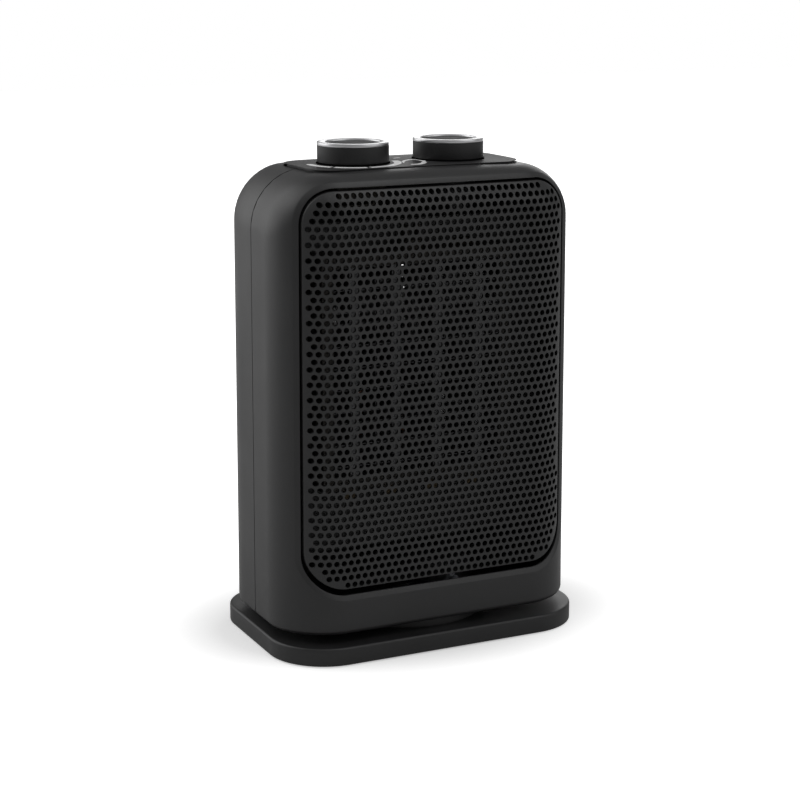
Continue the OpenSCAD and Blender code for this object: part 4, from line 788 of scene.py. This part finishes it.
marks = []
for start, end in RING_STROKES:
    a = np.linspace(start, end, 60)
    broad = smooth((a - BROAD_FROM) / BROAD_OVER)
    half = (RING_HALF + BROADER * broad) * round_end(a, RING_STROKES[0][0], RING_STROKES[-1][1], ROUND_OVER)
    radius = RING_R - CLOSER * broad
    a = np.radians(a)
    marks.append(stroke(KNOB_PLACES[0] + radius * np.sin(a), -radius * np.cos(a), half))
for start, end, first_half, last_half in ARROW_STROKES:
    a = np.radians(np.linspace(start, end, 40))
    out, back = ARROW_HALF[0] * np.cos(a), ARROW_HALF[1] * np.sin(a)
    half = np.linspace(first_half, last_half, 40) * (1 + ARROW_SWELL * np.abs(np.sin(a)))
    x = ARROW_MIDDLE[0] + ARROW_LEAN[0] * out + ARROW_LEAN[1] * back
    y = ARROW_MIDDLE[1] - ARROW_LEAN[1] * out + ARROW_LEAN[0] * back
    marks.append(stroke(x, y, half))
marks.append(stroke(*np.linspace(DASH_FROM, DASH_TO, 8).T, DASH_HALF))
piece("printed_marks", marks, ink, "housing", "panel_plastic")

# ---- Knobs ----
# Each is a black moulded cup, 35.5 mm across, on a hub; a bright turned aluminium ring is pressed on its rim
# and a dark satin cap lies sunk inside the ring. A near-black ring under each knob, in the panel's recess, is
# painted shadow in the gap under the knob.

knob_black = moulded("knob_black", (0.012, 0.012, 0.0125), rough=0.5, grain=900, bump=0.35, drift=0.2,
    stretch=(1, 1, 0.12))
turned_metal = moulded("turned_aluminium", (0.66, 0.66, 0.67), rough=0.3, grain=1200, bump=0.12, drift=0.04,
    metallic=1.0, stretch=(0.3, 0.3, 6))
cap_grey = moulded("cap_grey", (0.03, 0.03, 0.031), rough=0.65, grain=1500, bump=0.3, drift=0.1, shine=0.15)
# A near-black paint with no shine, for the rings under the knobs: painted shadow.
shadow_ring_black = moulded("painted_shadow_black", (0.004, 0.004, 0.004), rough=0.95, grain=3000, bump=0.8, drift=0.3, shine=0)

# Profiles of radius and height. The cup's comes down its outside, then up inside it round its hub.
cup = [(0, 248.5), (17.55, 248.5), (17.55, 248.42), (17.67, 248.36), (17.75, 248.26),
    (17.75, 240.55), (17.68, 240.37), (17.5, 240.3), (15.7, 240.3), (15.5, 240.5),
    (15.5, 246.3), (5, 246.3), (5, 241.62), (3.05, 241.62), (3.05, 246.3), (0, 246.3)]
band = [(14.1, 248.5), (17.55, 248.5), (17.75, 248.55), (17.8, 248.65), (17.8, 249.98), (17.74, 250.1),
    (17.6, 250.17), (17.4, 250.2), (14.9, 250.2), (14.3, 250.0), (14.1, 249.7), (14.1, 248.5)]
button = [(0, 248.52), (13.9, 248.52), (14.03, 248.65), (14.03, 249.2), (13.95, 249.32), (13.75, 249.38),
    (0, 249.38)]
# The ring under each knob, in its recess: painted shadow.
shadow_ring = [(15.9, 239.25), (18.3, 239.25), (18.3, 239.95), (18.1, 240.1), (15.9, 240.1), (15.9, 239.25)]
shadow_rings = [lathe(shadow_ring, (x, 0, 0)) for x in KNOB_PLACES]
piece("knob_shadow_rings", shadow_rings, shadow_ring_black, "housing", "panel_plastic")
for side, name, x in zip(("left", "right"), ("thermostat", "mode"), KNOB_PLACES):
    dial, knob = name + "_dial", name + "_knob"
    cup_part, band_part, button_part = (lathe(profile, (x, 0, 0), n=128) for profile in (cup, band, button))
    piece("knob_cup_" + side, [cup_part], knob_black, dial, "knob_plastic", knob)
    piece("knob_ring_" + side, [band_part], turned_metal, dial, "knob_metal", knob + "_ring")
    piece("knob_cap_" + side, [button_part], cap_grey, dial, "cap_plastic", knob + "_cap")

# ---- Base and swivel ----
# The flat base is a satin black moulding with a cover screwed under it and rubber feet; the black turntable
# under the housing turns on a nylon glide ring round the pivot tube, held by a spring clip.

BASE_X, BASE_Y, BASE_FRONT_R, BASE_REAR_R = 83.5, 53.5, 30, 26.5
DECK, DECK_UNDER, DECK_ROUND, BASE_WALL = 9.6, 7.8, 1.2, 2
CRANK_SLOT, CRANK_SLOT_HALF = (9.3, 34.7), 2.65  # places of its two rounded ends' middles
TRACK_INNER, TRACK_OUTER = 2.7, 4.15  # half widths of the wall that lines the slot
CUT_FROM, CUT_TO = 7, 12
POST_X, POST_Y, GUIDE_Y = 71.5, 17.5, 31.5
TUBE_FOOT, POST_FOOT, POST_HEAD = 4.2, 2.25, 8.2  # the posts' heads stand in the deck


def dress(paint, *names):
    """Gives CAD nodes a material."""
    for name in names:
        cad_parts[name].data.materials.clear()
        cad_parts[name].data.materials.append(paint)


def tray_loop(inset, z):
    """The base's outline moved inwards, at a height."""
    front_r, rear_r = BASE_FRONT_R - inset, BASE_REAR_R - inset
    x, y = opening(BASE_X - inset, inset - BASE_Y, BASE_Y - inset, front_r, rear_r, sides=30, arcs=32)
    return np.stack([x, y, np.full(len(x), z)], -1)


base_black = moulded("base_black", (0.014, 0.014, 0.0145), rough=0.45, grain=1500, bump=0.25)
edge = tray_loop(0, 0)
heading = np.arctan2(edge[:, 1], edge[:, 0])


def round_loop(radius, z):
    """A circle at a height, with a point in the same direction as each point of the base's outline."""
    return np.stack([radius * np.cos(heading), radius * np.sin(heading), np.full(len(heading), z)], -1)


# Up the pivot tube's bore, down its outside past the clip's groove, over the seat of the glide ring, out
# along the deck, down the rounded edge and back inside.
tube = ((4.2, TUBE_FOOT), (4.2, 20.8), (6.2, 20.8), (6.5, 20.6),
    (6.5, 19.9), (5.5, 19.9), (5.5, 18.9), (6.5, 18.9))
seat = ((6.5, DECK), (39.85, DECK), (39.85, 9.1), (43.65, 9.1), (43.65, DECK))
rows = [round_loop(r, z) for r, z in tube + seat] + [tray_loop(inset, DECK) for inset in (8, 4, 1.6)]
for a in np.linspace(0.15, math.pi / 2, 6):
    rows.append(tray_loop(DECK_ROUND * (1 - math.sin(a)), DECK - DECK_ROUND + DECK_ROUND * math.cos(a)))
foot = ((0, 0.95), (0.1, 0.7), (0.35, 0.6), (BASE_WALL, 0.6), (BASE_WALL, DECK_UNDER), (8, DECK_UNDER))
rows += [tray_loop(inset, z) for inset, z in foot]
rows += [round_loop(r, z) for r, z in ((45, DECK_UNDER), (6.5, DECK_UNDER), (6.5, TUBE_FOOT))]
bend = np.linspace(-math.pi / 2, math.pi / 2, 13)


def track(half, z):
    """The outline of the slot that the crank's pin runs in, widened to that half width: two half circles with
    straight sides between them."""
    near, far = CRANK_SLOT
    x = np.concatenate([far + half * np.cos(bend), near - half * np.cos(bend)])
    return np.stack([x, half * np.concatenate([np.sin(bend), -np.sin(bend)]), np.full(len(x), z)], -1)


guide = [track(TRACK_OUTER, TUBE_FOOT), track(TRACK_OUTER, POST_HEAD),
    track(TRACK_INNER, POST_HEAD), track(TRACK_INNER, TUBE_FOOT)]
post = [(1.25, POST_FOOT), (3.4, POST_FOOT), (3.4, POST_HEAD), (1.25, POST_HEAD), (1.25, POST_FOOT)]
spring_guide = [(0, 2.8), (1.2, 2.8), (1.4, 3), (1.4, POST_HEAD), (0, POST_HEAD)]
posts = [lathe(post, (x, y, 0), n=32) for x in (-POST_X, POST_X) for y in (-POST_Y, POST_Y)]
posts = [stacked(guide, round_rows=True), *posts, lathe(spring_guide, (0, GUIDE_Y, 0), n=24)]
tray = stacked(rows, round_rows=True)
base_tray = piece("base_tray", [tray], base_black, "base", "base_plastic", "base_shell")
carve(base_tray, [prism(track(CRANK_SLOT_HALF, 0)[:, :2], CUT_FROM, CUT_TO, axis=2)])
piece("base_posts", posts, base_black, "base", "base_plastic")
dress(base_black, "base_cover")
dress(moulded("turntable_black", (0.012, 0.012, 0.012), rough=0.5, grain=1200, bump=0.2), "turntable")
dress(moulded("foot_rubber", (0.02, 0.02, 0.02), rough=0.8, grain=2500, bump=0.5, drift=0.25), "rubber_feet")
dress(moulded("black_nylon", (0.013, 0.013, 0.013), rough=0.35, grain=700, bump=0.15), "glide_ring")
dress(moulded("white_nylon", (0.72, 0.71, 0.66), rough=0.4, grain=600, bump=0.15),
    "crank_arm", "tip_over_plunger")

# ---- Fixings and shafts ----
# Zinc-plated steel screws, clip, nuts, brackets and shafts, and plain drawn steel for the spring, the crank's
# and the motor's shafts and the bearings.

zinc = moulded("zinc_plate", (0.42, 0.43, 0.45), rough=0.32, grain=500, bump=0.2, drift=0.15, metallic=1.0)
dress(zinc, "base_screws", "pivot_clip", "turntable_screws", "housing_screws", "control_nuts", "ptc_screws",
    "motor_screws", "swing_motor", "swing_motor_screws", "motor_front_bracket", "motor_rear_bracket",
    "thermostat_shaft", "mode_shaft")
drawn_steel = moulded("drawn_steel", (0.36, 0.36, 0.37), rough=0.25, grain=900, bump=0.15, metallic=1.0,
    stretch=(1, 1, 0.1))
dress(drawn_steel, "tip_over_spring", "crank_shaft", "motor_shaft", "motor_bearings")

# ---- Heater ----
# A black heat-proof frame carries four finned aluminium bars with brass terminals, their metals painted far
# darker than their own colour as painted shade inside the housing; the duct behind it is dark grey heat-proof
# plastic, with a thermal cut-out and a fuse clipped on.

duct_grey = moulded("duct_grey", (0.06, 0.06, 0.06), rough=0.6, grain=1100, bump=0.25)
dress(duct_grey, "air_duct", "cord_gland", "gland_nut")
frame_black = moulded("frame_brown_black", (0.05, 0.045, 0.04), rough=0.6, grain=1300, bump=0.35, drift=0.2)
dress(frame_black, "ptc_frame")
# Bars and fins far darker than aluminium: painted shade inside the housing.
bar_metal = moulded("bar_aluminium_shaded", (0.18, 0.18, 0.185), rough=0.5, grain=800, bump=0.3, drift=0.3,
    metallic=1.0)
dress(bar_metal, "ptc_bars")
fin_metal = moulded("fin_aluminium_shaded", (0.14, 0.14, 0.145), rough=0.5, grain=900, bump=0.3, drift=0.3,
    metallic=1.0)
dress(fin_metal, "ptc_fins")
# Brass at about a tenth of its own colour: painted shade inside the housing.
brass = moulded("terminal_brass_shaded", (0.09, 0.07, 0.045), rough=0.4, grain=700, bump=0.2, drift=0.2,
    metallic=1.0)
dress(brass, "ptc_terminals")
# The thermostat, terminal block, cut-out and fuse are painted a darker brown than their own: painted shade
# inside the housing.
phenolic_in_shade = moulded("phenolic_in_shade", (0.045, 0.037, 0.028), rough=0.5, grain=900, bump=0.3)
dress(phenolic_in_shade, "thermostat", "terminal_block", "thermal_cutout", "thermal_fuse")

# ---- Fan and motor ----
# A black moulded wheel on a shaded-pole motor: a core and a rotor of stacked steel sheets, and a coil of
# enamelled copper wire. The two switches, plain black mouldings, come last.

dress(moulded("fan_black", (0.014, 0.014, 0.015), rough=0.45, grain=900, bump=0.2), "fan_wheel")
laminations = moulded("laminations", (0.16, 0.16, 0.17), rough=0.45, grain=2600, bump=0.5, drift=0.2,
    metallic=1.0, stretch=(0.05, 1, 0.05))
dress(laminations, "motor_core", "motor_rotor")
copper = moulded("enamelled_copper", (0.5, 0.2, 0.08), rough=0.3, grain=2600, bump=0.6, drift=0.25,
    metallic=1.0, stretch=(0.1, 1, 0.1))
dress(copper, "motor_coil")
switch_black = moulded("switch_black", (0.014, 0.014, 0.014), rough=0.45, grain=1000, bump=0.2)
dress(switch_black, "rotary_switch", "tip_over_switch")
